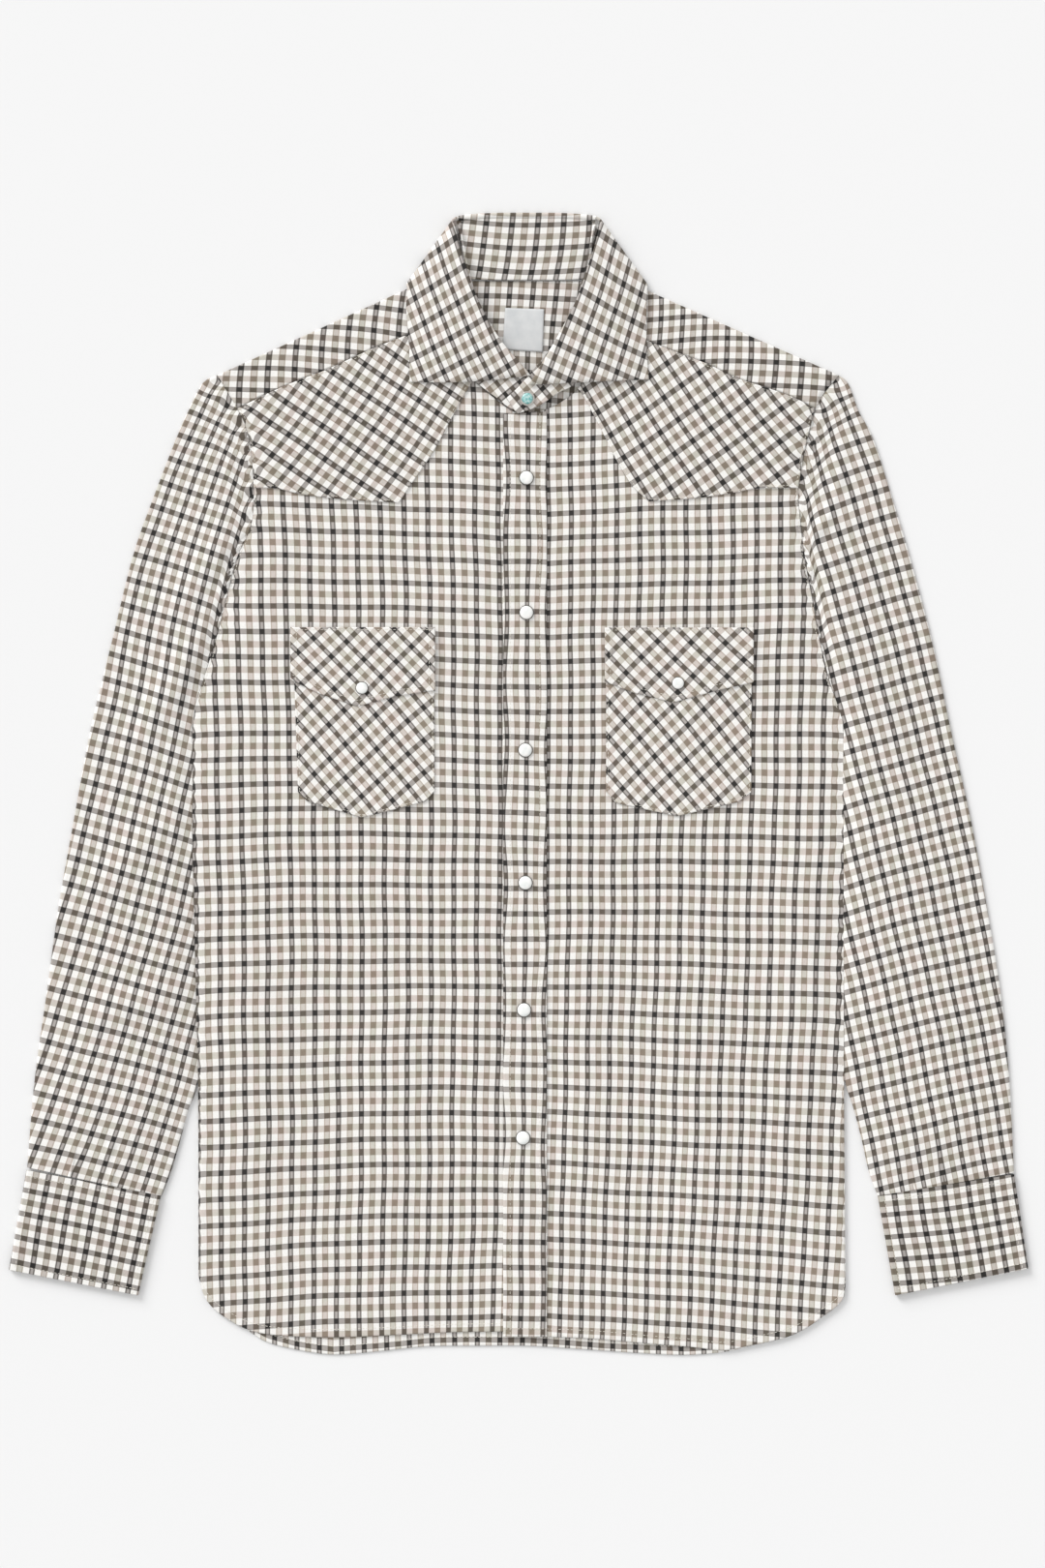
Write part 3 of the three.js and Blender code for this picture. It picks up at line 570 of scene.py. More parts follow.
class Chart:
    """Short calls for the nodes of one material."""

    def __init__(self, name: str) -> None:
        """Starts a material with its shader and output.

        Args:
            name: Name of the material.
        """
        self.material = bpy.data.materials.new(name)
        self.material.use_nodes = True
        self.tree = self.material.node_tree
        self.tree.nodes.clear()
        self.shader = self.node("ShaderNodeBsdfPrincipled")
        output = self.node("ShaderNodeOutputMaterial")
        self.link(self.shader.outputs["BSDF"], output.inputs["Surface"])

    def node(self, kind: str) -> bpy.types.Node:
        """Adds a node."""
        return self.tree.nodes.new(kind)

    def link(self, output: bpy.types.NodeSocket, socket: bpy.types.NodeSocket) -> None:
        """Joins two sockets."""
        self.tree.links.new(output, socket)

    def feed(self, socket: bpy.types.NodeSocket, value: Input) -> None:
        """Links a socket, or sets its value.

        Args:
            socket: Socket of a node.
            value: Output to link, or the value to set.
        """
        if isinstance(value, bpy.types.NodeSocket):
            self.link(value, socket)
        else:
            socket.default_value = value

    def math(self, operation: str, a: Input, b: Input = 0.0) -> bpy.types.NodeSocket:
        """One sum of two values.

        Args:
            operation: Blender's name of the sum.
            a: First value.
            b: Second value.

        Returns:
            The result.
        """
        node = self.node("ShaderNodeMath")
        node.operation = operation
        self.feed(node.inputs[0], a)
        self.feed(node.inputs[1], b)
        return node.outputs[0]

    def ramp(self, value: Input, low: float, high: float, start: float, end: float
             ) -> bpy.types.NodeSocket:
        """Maps a range of a value, kept within its ends.

        Args:
            value: The value.
            low: Start of its range.
            high: End of its range.
            start: What the start becomes.
            end: What the end becomes.

        Returns:
            The result.
        """
        node = self.node("ShaderNodeMapRange")
        for socket, number in zip(node.inputs[:5], (value, low, high, start, end), strict=True):
            self.feed(socket, number)
        return node.outputs[0]

    def mix(self, share: Input, a: Input, b: Input, blend: str = "MIX") -> bpy.types.NodeSocket:
        """Mixes two colours by a share.

        Args:
            share: Share of the second colour.
            a: First colour.
            b: Second colour.
            blend: Blender's name of the way of mixing.

        Returns:
            The mixed colour.
        """
        node = self.node("ShaderNodeMix")
        node.data_type = "RGBA"
        node.blend_type = blend
        self.feed(node.inputs["Factor"], share)
        self.feed(node.inputs["A"], linear(a) if isinstance(a, str) else a)
        self.feed(node.inputs["B"], linear(b) if isinstance(b, str) else b)
        return next(o for o in node.outputs if o.type == "RGBA")

    def noise(self, scale: float, detail: float = 2.0) -> bpy.types.NodeSocket:
        """Noise in the object's own metres, between 0 and 1.

        Args:
            scale: Repeats to a metre.
            detail: Finer layers of it.

        Returns:
            The noise.
        """
        where = self.node("ShaderNodeTexCoord")
        node = self.node("ShaderNodeTexNoise")
        node.inputs["Scale"].default_value = scale
        node.inputs["Detail"].default_value = detail
        self.link(where.outputs["Object"], node.inputs["Vector"])
        return node.outputs["Fac"]

    def places(self, layer: str) -> tuple[bpy.types.NodeSocket, bpy.types.NodeSocket]:
        """The two values of a map of the mesh.

        Args:
            layer: Name of the map.

        Returns:
            First and second value.
        """
        uv = self.node("ShaderNodeUVMap")
        uv.uv_map = layer
        split = self.node("ShaderNodeSeparateXYZ")
        self.link(uv.outputs["UV"], split.inputs[0])
        return split.outputs["X"], split.outputs["Y"]

    def bump(self, height: Input, strength: float, distance: float) -> None:
        """Gives the shader a relief.

        Args:
            height: Height of the relief.
            strength: Share of it that shows.
            distance: Its depth, in metres.
        """
        node = self.node("ShaderNodeBump")
        node.inputs["Strength"].default_value = strength
        node.inputs["Distance"].default_value = distance
        self.link(height, node.inputs["Height"])
        self.link(node.outputs["Normal"], self.shader.inputs["Normal"])

    def surface(self, **values: float) -> None:
        """Sets the shader's own sockets."""
        for name, value in values.items():
            self.shader.inputs[name.replace("_", " ")].default_value = value


def make_check(cotton: CheckCotton) -> bpy.types.Material:
    """Weaves the check from the cloth's own repeats.

    Args:
        cotton: Colours and widths of the stripes.

    Returns:
        The material.
    """
    chart = Chart("check_cotton")
    u, v = chart.places("grain")
    rim, tone = chart.places("rim")

    def stripe(cell: Input, centre: float, half: float) -> tuple[Input, Input]:
        """Cover of a stripe, and distance from its middle.

        Args:
            cell: Repeats of the warp or the weft.
            centre: Middle of the stripe, in repeats.
            half: Half of its width, in repeats.

        Returns:
            Cover and distance.
        """
        turned = chart.math("FRACT", chart.math("ADD", cell, 0.5 - centre))
        away = chart.math("ABSOLUTE", chart.math("SUBTRACT", turned, 0.5))
        return chart.ramp(away, half - cotton.blur, half + cotton.blur, 1.0, 0.0), away

    # Stripes, and the darker lines at their sides
    warp_dark, dark_away = stripe(u, 0.0, cotton.warp_charcoal)
    warp_taupe, taupe_away = stripe(u, 0.5, cotton.warp_taupe)
    weft_dark, weft_away = stripe(v, 0.0, cotton.weft_charcoal)
    weft_taupe, _ = stripe(v, 0.5, cotton.weft_taupe)
    dark_line = chart.ramp(dark_away, 0.35 * cotton.warp_charcoal, 0.6 * cotton.warp_charcoal, 0, 1)
    taupe_line = chart.ramp(taupe_away, 0.55 * cotton.warp_taupe, 0.8 * cotton.warp_taupe, 0, 1)
    weft_line = chart.ramp(weft_away, 0.6 * cotton.weft_charcoal, 0.9 * cotton.weft_charcoal,
                           0, 0.3)

    # Colour of the warp over white, charcoal and taupe weft
    on_white = chart.mix(warp_dark, cotton.ground,
                         chart.mix(dark_line, cotton.charcoal_core, cotton.charcoal_line))
    on_white = chart.mix(warp_taupe, on_white,
                         chart.mix(taupe_line, cotton.taupe_warp, cotton.taupe_line))
    charcoal_weft = chart.mix(weft_line, cotton.charcoal_weft, cotton.charcoal_both)
    on_dark = chart.mix(warp_dark, charcoal_weft, cotton.charcoal_both)
    on_dark = chart.mix(warp_taupe, on_dark, cotton.mixed_weft)
    on_taupe = chart.mix(warp_dark, cotton.taupe_weft, cotton.mixed)
    on_taupe = chart.mix(warp_taupe, on_taupe, cotton.taupe_both)
    colour = chart.mix(weft_dark, on_white, on_dark)
    colour = chart.mix(weft_taupe, colour, on_taupe)

    # The taupe leans to red or green over wide patches
    taupe = chart.math("MAXIMUM", warp_taupe, weft_taupe)
    hue = chart.ramp(chart.noise(70, 1), 0.35, 0.65, 0, 1)
    tint = chart.mix(hue, (1.03, 0.975, 0.95, 1), (0.94, 0.98, 0.9, 1))
    colour = chart.mix(chart.math("MULTIPLY", taupe, 0.8), colour, tint, "MULTIPLY")

    # Yarns, slubs, painted shade in the crevice at a free edge, and the deeper tone of some pieces
    over = chart.math("SINE", chart.math("MULTIPLY", u, math.tau * cotton.threads[0]))
    under = chart.math("SINE", chart.math("MULTIPLY", v, math.tau * cotton.threads[1]))
    weave = chart.math("MULTIPLY", over, under)
    slub = chart.ramp(chart.noise(620, 2), 0.3, 0.7, 0.94, 1.0)
    shade = chart.math("MULTIPLY", slub, chart.ramp(weave, -1, 1, 0.96, 1.0))
    # fold: painted shade, darkening the colour within half a millimetre of a free edge, where a
    # seam's crevice lies in shadow
    fold = chart.ramp(rim, 0.0, 0.05, 0.82, 1.0)
    shade = chart.math("MULTIPLY", shade, fold)
    warps, wefts = (chart.math("MAXIMUM", *pair) for pair in (
        (warp_dark, warp_taupe), (weft_dark, weft_taupe)))
    cover = chart.math("MULTIPLY", chart.math("ADD", warps, wefts), tone)
    shade = chart.math("MULTIPLY", shade, chart.ramp(cover, 0, 2, 1, cotton.deepest))
    node = chart.node("ShaderNodeCombineColor")
    for socket in node.inputs[:3]:
        chart.link(shade, socket)
    colour = chart.mix(1.0, colour, node.outputs[0], "MULTIPLY")
    chart.link(colour, chart.shader.inputs["Base Color"])
    chart.surface(Roughness=0.9, Sheen_Weight=0.08, Sheen_Roughness=0.5, Specular_IOR_Level=0.2)
    chart.bump(chart.math("ADD", weave, chart.noise(900, 2)), 0.3, 0.00012)
    return chart.material


def make_finish(finish: Finish) -> bpy.types.Material:
    """Makes a mottled finish with fine relief.

    Args:
        finish: Colours and numbers of the finish.

    Returns:
        The material.
    """
    chart = Chart(finish.name)
    share = chart.ramp(chart.noise(finish.grain), 0.35, 0.7, 0, 1)
    colour = chart.mix(share, finish.colour, finish.mottle or finish.colour)
    chart.link(colour, chart.shader.inputs["Base Color"])
    chart.surface(Roughness=finish.roughness, Metallic=finish.metallic, Coat_Weight=finish.coat,
                  Sheen_Weight=finish.sheen)
    if finish.bump:
        chart.bump(chart.noise(finish.grain * 3), finish.bump, 0.0002)
    return chart.material


class Wardrobe:
    """The materials of the shirt, each made once."""

    def __init__(self) -> None:
        """Makes the materials."""
        self.check = make_check(CheckCotton())
        self.thread = make_finish(THREAD)
        self.pearl = make_finish(PEARL)
        self.ring = make_finish(RING)
        self.pale_ring = make_finish(PALE_RING)
        self.stone = make_finish(STONE)
        self.satin = make_finish(SATIN)


def make_object(name: str, points: Array, faces: Sequence[Sequence[int]],
                materials: Sequence[bpy.types.Material], maps: dict[str, Array] | None = None,
                slots: Sequence[int] | None = None) -> bpy.types.Object:
    """Makes a smooth mesh object from points in millimetres.

    Args:
        name: Name of the piece.
        points: Points, in millimetres.
        faces: Corners of each face.
        materials: Materials of the piece.
        maps: Values of each map at each point.
        slots: Number of each face's material.

    Returns:
        The object, linked to the scene.
    """
    mesh = bpy.data.meshes.new(name)
    mesh.from_pydata((points * MM).tolist(), [], [list(f) for f in faces])
    mesh.validate()
    if slots is not None:
        mesh.polygons.foreach_set("material_index", slots)
    for layer, values in (maps or {}).items():
        corner = np.empty(len(mesh.loops), dtype=np.int32)
        mesh.loops.foreach_get("vertex_index", corner)
        mesh.uv_layers.new(name=layer).data.foreach_set("uv", values[corner].ravel())
    shape = bmesh.new()
    shape.from_mesh(mesh)
    bmesh.ops.recalc_face_normals(shape, faces=shape.faces)
    shape.to_mesh(mesh)
    shape.free()
    mesh.polygons.foreach_set("use_smooth", [True] * len(mesh.polygons))
    for material in materials:
        mesh.materials.append(material)
    piece = bpy.data.objects.new(name, mesh)
    bpy.context.scene.collection.objects.link(piece)
    return piece


def close_sheet(upper: Array, lower: Array, keep: Array | None = None
                ) -> tuple[Array, list[list[int]], Array]:
    """Joins two grids, one wall apart, into a closed sheet.

    Args:
        upper: Points of the upper skin.
        lower: Points of the lower skin.
        keep: Which cells are cloth, or None for all.

    Returns:
        Points, faces, and the numbers of the grid points that are used.
    """
    rows, columns = upper.shape[:2]
    count = rows * columns
    number = np.arange(count).reshape(rows, columns)
    cloth = np.ones((rows - 1, columns - 1), bool) if keep is None else keep
    a, b, c, d = number[:-1, :-1], number[:-1, 1:], number[1:, 1:], number[1:, :-1]
    top = np.stack([a, b, c, d], -1)[cloth]
    faces = [top, top[:, ::-1] + count]
    padded = np.pad(cloth, 1)
    for (p, q), beyond in (((a, b), padded[:-2, 1:-1]), ((d, c), padded[2:, 1:-1]),
                           ((a, d), padded[1:-1, :-2]), ((b, c), padded[1:-1, 2:])):
        open_side = cloth & ~beyond
        p, q = p[open_side], q[open_side]
        faces.append(np.stack([p, q, q + count, p + count], -1))
    made = np.vstack(faces)
    used, renumbered = np.unique(made, return_inverse=True)
    points = np.vstack([upper.reshape(-1, 3), lower.reshape(-1, 3)])[used]
    return points, renumbered.reshape(made.shape).tolist(), used


def cloth_maps(cells: Array, rim: Array, tone: float, used: Array | slice = slice(None)
               ) -> dict[str, Array]:
    """The maps of a cloth with two skins that lie alike.

    Args:
        cells: Repeats of the check over one skin.
        rim: Distance from the edges that show, in millimetres, which sets the painted shade along
            them.
        tone: How much deeper the coloured stripes are.
        used: Numbers of the grid points that are used.

    Returns:
        Values of each map at each point.
    """
    lay = cells.reshape(-1, 2)
    rims = np.column_stack([rim.ravel() / CM, np.full(rim.size, tone)])
    return {"grain": np.vstack([lay, lay])[used], "rim": np.vstack([rims, rims])[used]}


def distances(plan: Array) -> dict[str, Array]:
    """How far each point of a grid is from each of its four edges, along the grid.

    Args:
        plan: The grid in the plane, rows by columns by two.

    Returns:
        Distances over the grid from the top, bottom, first and second edge.
    """
    across = np.hypot(*np.moveaxis(np.diff(plan, axis=1), -1, 0))
    along = np.hypot(*np.moveaxis(np.diff(plan, axis=0), -1, 0))
    first = np.pad(np.cumsum(across, axis=1), ((0, 0), (1, 0)))
    top = np.pad(np.cumsum(along, axis=0), ((1, 0), (0, 0)))
    return {"top": top, "bottom": top[-1:] - top, "first": first, "second": first[:, -1:] - first}


class Thread:
    """Stitch lines of one piece, gathered and made as one mesh of short threads."""

    LENGTH = 2.2
    PITCH = 3.0
    WIDTH = 0.36
    HEIGHT = 0.24
    POINT = 0.4  # length of a pointed end
    SIDES = 6

    def __init__(self) -> None:
        """Starts without stitches."""
        self.points: list[Array] = []
        self.faces: list[list[int]] = []
        self.count = 0

    def sew(self, line: Array) -> None:
        """Adds a row of stitches along a line of places on the cloth.

        Args:
            line: Points of the line, in millimetres.
        """
        steps = np.linalg.norm(np.diff(line, axis=0), axis=1)
        run = np.concatenate([[0.0], np.cumsum(steps)])
        for start in np.arange(self.PITCH / 2, run[-1] - self.LENGTH, self.PITCH):
            ends = [np.array([np.interp(start + s, run, line[:, k]) for k in range(3)])
                    for s in (0, self.LENGTH)]
            self._stitch(*ends)

    def _stitch(self, start: Array, end: Array) -> None:
        """Adds one stitch: a short thread with pointed ends.

        Args:
            start: Point where it starts.
            end: Point where it ends.
        """
        axis = (end - start) / max(1e-6, np.linalg.norm(end - start))
        side = np.cross(axis, (0, 0, 1.0))
        side /= max(1e-6, np.linalg.norm(side))
        up = np.cross(side, axis)
        base = self.count
        turn = np.arange(self.SIDES) * math.tau / self.SIDES
        rings = [
            middle + np.cos(turn)[:, None] * side * self.WIDTH / 2
            + np.sin(turn)[:, None] * up * self.HEIGHT / 2
            for middle in (start + axis * self.POINT, end - axis * self.POINT)
        ]
        self.points.append(np.vstack([start[None], *rings, end[None]]))
        n = self.SIDES
        for k in range(n):
            j = (k + 1) % n
            self.faces += [
                [base, base + 1 + j, base + 1 + k],
                [base + 1 + k, base + 1 + j, base + 1 + n + j, base + 1 + n + k],
                [base + 2 * n + 1, base + 1 + n + k, base + 1 + n + j],
            ]
        self.count += 2 * n + 2

    def make(self, name: str, wardrobe: Wardrobe) -> bpy.types.Object | None:
        """Makes the mesh, or None where nothing is sewn.

        Args:
            name: Name of the object.
            wardrobe: The materials of the shirt.

        Returns:
            The object, or None.
        """
        if not self.points:
            return None
        piece = make_object(name, np.vstack(self.points), self.faces, [wardrobe.thread])
        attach(piece, "root")
        return piece


def stitch_line(plan: Array, surface: Array, away: Array, distance: float, by_rows: bool) -> Array:
    """Places on a surface at one distance from an edge.

    Args:
        plan: The grid's plan.
        surface: Heights of its upper skin.
        away: Distances from the edge.
        distance: Distance of the line.
        by_rows: Whether the line crosses the grid's rows instead of its columns.

    Returns:
        Points of the line.
    """
    grids = (plan[..., 0], plan[..., 1], surface)
    if not by_rows:
        grids, away = tuple(g.T for g in grids), away.T
    line = []
    for i in range(away.shape[0]):
        order = np.argsort(away[i])
        line.append([np.interp(distance, away[i][order], g[i][order]) for g in grids])
    return np.array(line)


@dataclass
class Panel:
    """One cut piece of cloth that lies on its patch.

    Attributes:
        node: Node that it replaces.
        edges: Paths of the top, bottom, first and second edges.
        level: Height of the cloth's middle.
        grain: How the check lies on it.
        finish: Finish of the four edges.
        flat: Width and length of the cut, in metres; not used.
        rests_on: What it lies on; not used.
        area: Flat area of the cut, in square metres; not used.
        step: Size of the grid's cells.
        wall: Thickness of the cloth.
        drape: Share of the shirt's rise and fall that it follows.
        waves: Height of its own fine unevenness.
        relief: Further lift at places of the piece.
    """

    DRAWN = 0.2  # shift of the check to a millimetre of press, in repeats

    node: str
    edges: Edges
    level: float
    grain: Grain
    finish: tuple[Edge, Edge, Edge, Edge]
    flat: Point
    rests_on: tuple[str, ...]
    area: float
    step: float = 4.0
    wall: float = CLOTH
    drape: float = 1.0
    waves: float = 0.0
    relief: tuple[Crease, ...] = ()

    def plan(self) -> Array:
        """The piece's grid in the plane.

        Returns:
            Points of the grid, rows by columns by two.
        """
        top, bottom, first, second = self.edges
        u = graded((top.length + bottom.length) / 2, self.step)
        v = graded((first.length + second.length) / 2, self.step)
        return patch(top, bottom, first, second, u, v)

    def middle(self, plan: Array, away: dict[str, Array]) -> Array:
        """Height of the cloth's middle over the grid.

        Args:
            plan: The grid in the plane, rows by columns by two.
            away: Distances from the four edges over the grid, by name.

        Returns:
            Heights over the grid.
        """
        x, y = plan[..., 0], plan[..., 1]
        z = self.level + self.drape * DRAPE.lift(x, y)
        if self.waves:
            z = z + self.waves * SoftNoise(len(self.node), 17)(x, y)
        for crease in self.relief:
            z = z + crease.lift(x, y)
        for (name, distance), finish in zip(away.items(), self.finish, strict=True):
            wave = self.wave(x if name in ("top", "bottom") else y, distance)
            z = z + finish.pucker * wave * smooth(distance / 2)
            z = z - finish.press * (1 - smooth(distance / 6))
        return z

    @staticmethod
    def wave(run: Array, distance: Array, reach: float = 6.0) -> Array:
        """Small uneven waves along a seam that die out away from it."""
        return np.sin(run / 2.3 + 1.7 * np.sin(run / 19)) * np.exp(-distance / reach)

    def thickness(self, away: dict[str, Array]) -> Array:
        """Half of the wall over the grid, rounded off at the edges.

        Args:
            away: Distances from the four edges over the grid, by name.

        Returns:
            Half of the thickness over the grid.
        """
        nearest = np.minimum.reduce(list(away.values()))
        ease = np.clip(nearest / ROUND_OFF, 0, 1)
        half = self.wall / 2 * np.maximum(0.12, np.sqrt(1 - (1 - ease) ** 2))
        for distance, finish in zip(away.values(), self.finish, strict=True):
            if finish.stitch:
                half = half - 0.2 * np.exp(-(((distance - finish.stitch) / 0.55) ** 2))
                bead = smooth(distance / 0.8) * smooth((finish.stitch - distance) / 0.8)
                half = half + 0.12 * bead
        return np.maximum(half, 0.05)

    def rim(self, away: dict[str, Array]) -> Array:
        """Distance from the nearest edge that shows."""
        shown = [d for d, f in zip(away.values(), self.finish, strict=True) if f.free]
        return np.minimum.reduce(shown) if shown else np.full_like(away["top"], CM)

    def cells(self, plan: Array) -> Array:
        """Repeats of the check over the grid."""
        return self.grain.cells(plan[..., 0], plan[..., 1])

    def make(self, wardrobe: Wardrobe) -> bpy.types.Object:
        """Builds the piece, sews it and hides the part that it replaces.

        Args:
            wardrobe: The materials of the shirt.

        Returns:
            The object.
        """
        plan = self.plan()
        away = distances(plan)
        middle, half = self.middle(plan, away), self.thickness(away)
        upper = np.dstack([plan, middle + half])
        lower = np.dstack([plan, np.maximum(0.02, middle - half)])
        points, faces, used = close_sheet(upper, lower)
        cells = self.cells(plan)
        for distance, finish in zip(away.values(), self.finish, strict=True):
            if finish.press:
                cells += self.DRAWN * finish.press * self.wave(plan[..., 1], distance)[..., None]
        maps = cloth_maps(cells, self.rim(away), self.grain.tone, used)
        piece = make_object(f"cloth_{self.node}", points, faces, [wardrobe.check], maps)
        thread = Thread()
        for (name, distance), finish in zip(away.items(), self.finish, strict=True):
            if finish.stitch:
                line = stitch_line(plan, upper[..., 2] + 0.02, distance, finish.stitch,
                                   name in ("first", "second"))
                thread.sew(line[:int(len(line) * finish.reach)])
        return dress(piece, self.node,
                     thread.make(f"stitches_{self.node}", wardrobe))


def dress(piece: bpy.types.Object, node: str,
          stitches: bpy.types.Object | None = None) -> bpy.types.Object:
    """Attaches a cloth piece to the root, hides the part that it replaces and logs its size.

    Args:
        piece: The cloth.
        node: Node that it replaces.
        stitches: The threads on it; not used.

    Returns:
        The piece.
    """
    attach(piece, "root")
    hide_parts(node)
    log.info("%s: %d points", piece.name, len(piece.data.vertices))
    return piece


@dataclass
class Body:
    """Back, back yoke, fronts, front yokes and placket."""

    back_grain: Grain = Grain((3, -414.6), (16.8, 0), (0, -18.5), seed=1.3)
    front_grain: dict[Side, Grain] = field(default_factory=lambda: {
        Side.LEFT: Grain((-99.6, -37.1), (17.37, -0.15), (0.1, -18.79),
                         (0.83, -0.59, 0.19), (-1.0, -0.69, -0.16)),
        Side.RIGHT: Grain((138.2, -39.1), (17.03, -0.14), (-0.43, -18.98),
                          (-0.95, -0.65, 0.17), (-0.31, 1.08, -0.15), seed=2.1),
    })
    yoke_grain: dict[Side, Grain] = field(default_factory=lambda: {
        Side.LEFT: Grain((-121.5, 271.9), (-10.73, -15.3), (13.58, -9.11),
                         (-0.8, -1.2, -0.4), (1.8, 3.0, 1.7), seed=4.0, tone=0.36),
        Side.RIGHT: Grain((143.0, 264.6), (13.68, 9.71), (11.14, -15.66),
                          (-3.7, 4.4, 0.6), (0.0, 0.9, 0.8), seed=5.0, tone=0.36),
    })
    placket_grain: Grain = Grain((5.4, -40.1), (15.76, -0.41), (-0.16, -18.69),
                                 (5.1, -0.06, 0.04), (-3.3, -0.12, -0.06), seed=3.0)

    def make(self, wardrobe: Wardrobe) -> None:
        """Builds the panels from the table up.

        Args:
            wardrobe: The materials of the shirt.
        """
        self.make_back(wardrobe)
        BackYoke().make(wardrobe)
        for side in Side:
            self.make_front(side, wardrobe)
            self.make_front_yoke(side, wardrobe)
        self.make_placket(wardrobe)

    def make_back(self, wardrobe: Wardrobe) -> None:
        """Builds the back, down to its shaped tail.

        Args:
            wardrobe: The materials of the shirt.
        """
        left = body_side(Side.LEFT, BACK_YOKE_SEAM_Y, TAIL[0][1])
        right = body_side(Side.RIGHT, BACK_YOKE_SEAM_Y, TAIL[-1][1])
        top = straight(left.points[0], right.points[0])
        BackPanel(
            "back", (top, Path(TAIL), left, right), BACK_Z, self.back_grain,
            (HIDDEN, Edge(stitch=6.5, pucker=0.25), HIDDEN, HIDDEN),
            flat=(0.486, 0.675), rests_on=(), area=0.31, drape=0.0,
        ).make(wardrobe)

    def make_front(self, side: Side, wardrobe: Wardrobe) -> None:
        """Builds a front, from the forward seam to the shaped hem.

        Args:
            side: Side of the shirt.
            wardrobe: The materials of the shirt.
        """
        seam, neck, hem = Path(FORWARD_SEAM[side]), Path(FRONT_NECK[side]), Path(HEM[side])
        top = seam.then(neck)
        lap = straight(FRONT_NECK[side][-1], HEM[side][-1])
        outline = body_side(side, FORWARD_SEAM_Y, HEM[side][0][1])
        Panel(
            f"front_{side.value}", (top, hem, outline, lap), FRONT_Z, self.front_grain[side],
            (HIDDEN, Edge(stitch=6.0, pucker=0.2),
             Edge(stitch=1.8, reach=0.36, press=0.35, pucker=0.16), HIDDEN),
            flat=(0.262, 0.76), rests_on=("back",), area=0.166,
        ).make(wardrobe)

    def make_front_yoke(self, side: Side, wardrobe: Wardrobe) -> None:
        """Builds a pointed front yoke.

        Args:
            side: Side of the shirt.
            wardrobe: The materials of the shirt.
        """
        top = Path(FORWARD_SEAM[side]).then(Path(FRONT_YOKE_NECK[side]))
        outline = body_side(side, FORWARD_SEAM_Y, FRONT_YOKE_Y)
        sewn = Edge(stitch=1.9, pucker=0.12)
        Panel(
            f"front_yoke_{side.value}",
            (top, Path(FRONT_YOKE_LOWER[side]), outline, Path(FRONT_YOKE_INNER[side])),
            APPLIED_Z, self.yoke_grain[side],
            (sewn, sewn, Edge(stitch=1.8, press=0.5, pucker=0.3), sewn),
            flat=(0.2, 0.135), rests_on=(f"front_{side.value}",), area=0.0175, step=3.2, waves=0.1,
        ).make(wardrobe)

    def make_placket(self, wardrobe: Wardrobe) -> None:
        """Builds the placket: a free edge on the left and a seam on the right.

        Args:
            wardrobe: The materials of the shirt.
        """
        sewn = Edge(stitch=5.2, pucker=0.12)
        snaps = tuple(Crease((x - 9, y), (x + 9, y), 14, -0.35) for x, y in PLACKET_SNAPS)
        between = tuple(
            Crease((x, y - 22), (x, y - 78), 15, 0.45) for x, y in PLACKET_SNAPS)
        PlacketPanel(
            "placket", four_edges(PLACKET), APPLIED_Z, self.placket_grain,
            (HIDDEN, Edge(stitch=6.0), sewn, sewn),
            flat=(0.033, 0.687), rests_on=("front_left", "front_right"), area=0.0225,
            step=3.0, waves=0.12, relief=snaps + between,
        ).make(wardrobe)


class BackPanel(Panel):
    """The back, whose check runs with the curve of the tail near the hem."""

    FOLLOW_FROM = -330.0
    FOLLOW_OVER = 60.0
    TAIL_LEVEL = -418.9

    def cells(self, plan: Array) -> Array:
        """Repeats of the check, bent along the tail.

        Args:
            plan: The grid in the plane, rows by columns by two.

        Returns:
            Repeats of the warp and the weft.
        """
        x, y = plan[..., 0], plan[..., 1]
        follow = smooth((self.FOLLOW_FROM - y) / self.FOLLOW_OVER)
        return self.grain.cells(x, y - follow * (tail_y(x) - self.TAIL_LEVEL))


class PlacketPanel(Panel):
    """The placket, whose warp is drawn together at each snap."""

    NARROWER = 0.15  # how much closer the warp lies at a snap than half way between
    HALF_WAY = 48.0

    def cells(self, plan: Array) -> Array:
        """Repeats of the check, narrower at the snaps and wider between them.

        Args:
            plan: The grid in the plane, rows by columns by two.

        Returns:
            Repeats of the warp and the weft.
        """
        x, y = plan[..., 0], plan[..., 1]
        near = np.min([np.abs(y - snap) for _, snap in PLACKET_SNAPS], axis=0)
        drawn = 1 + self.NARROWER * (smooth(1 - near / self.HALF_WAY) - 0.45)
        middle = self.grain.origin[0]
        return self.grain.cells(middle + (x - middle) * drawn, y)


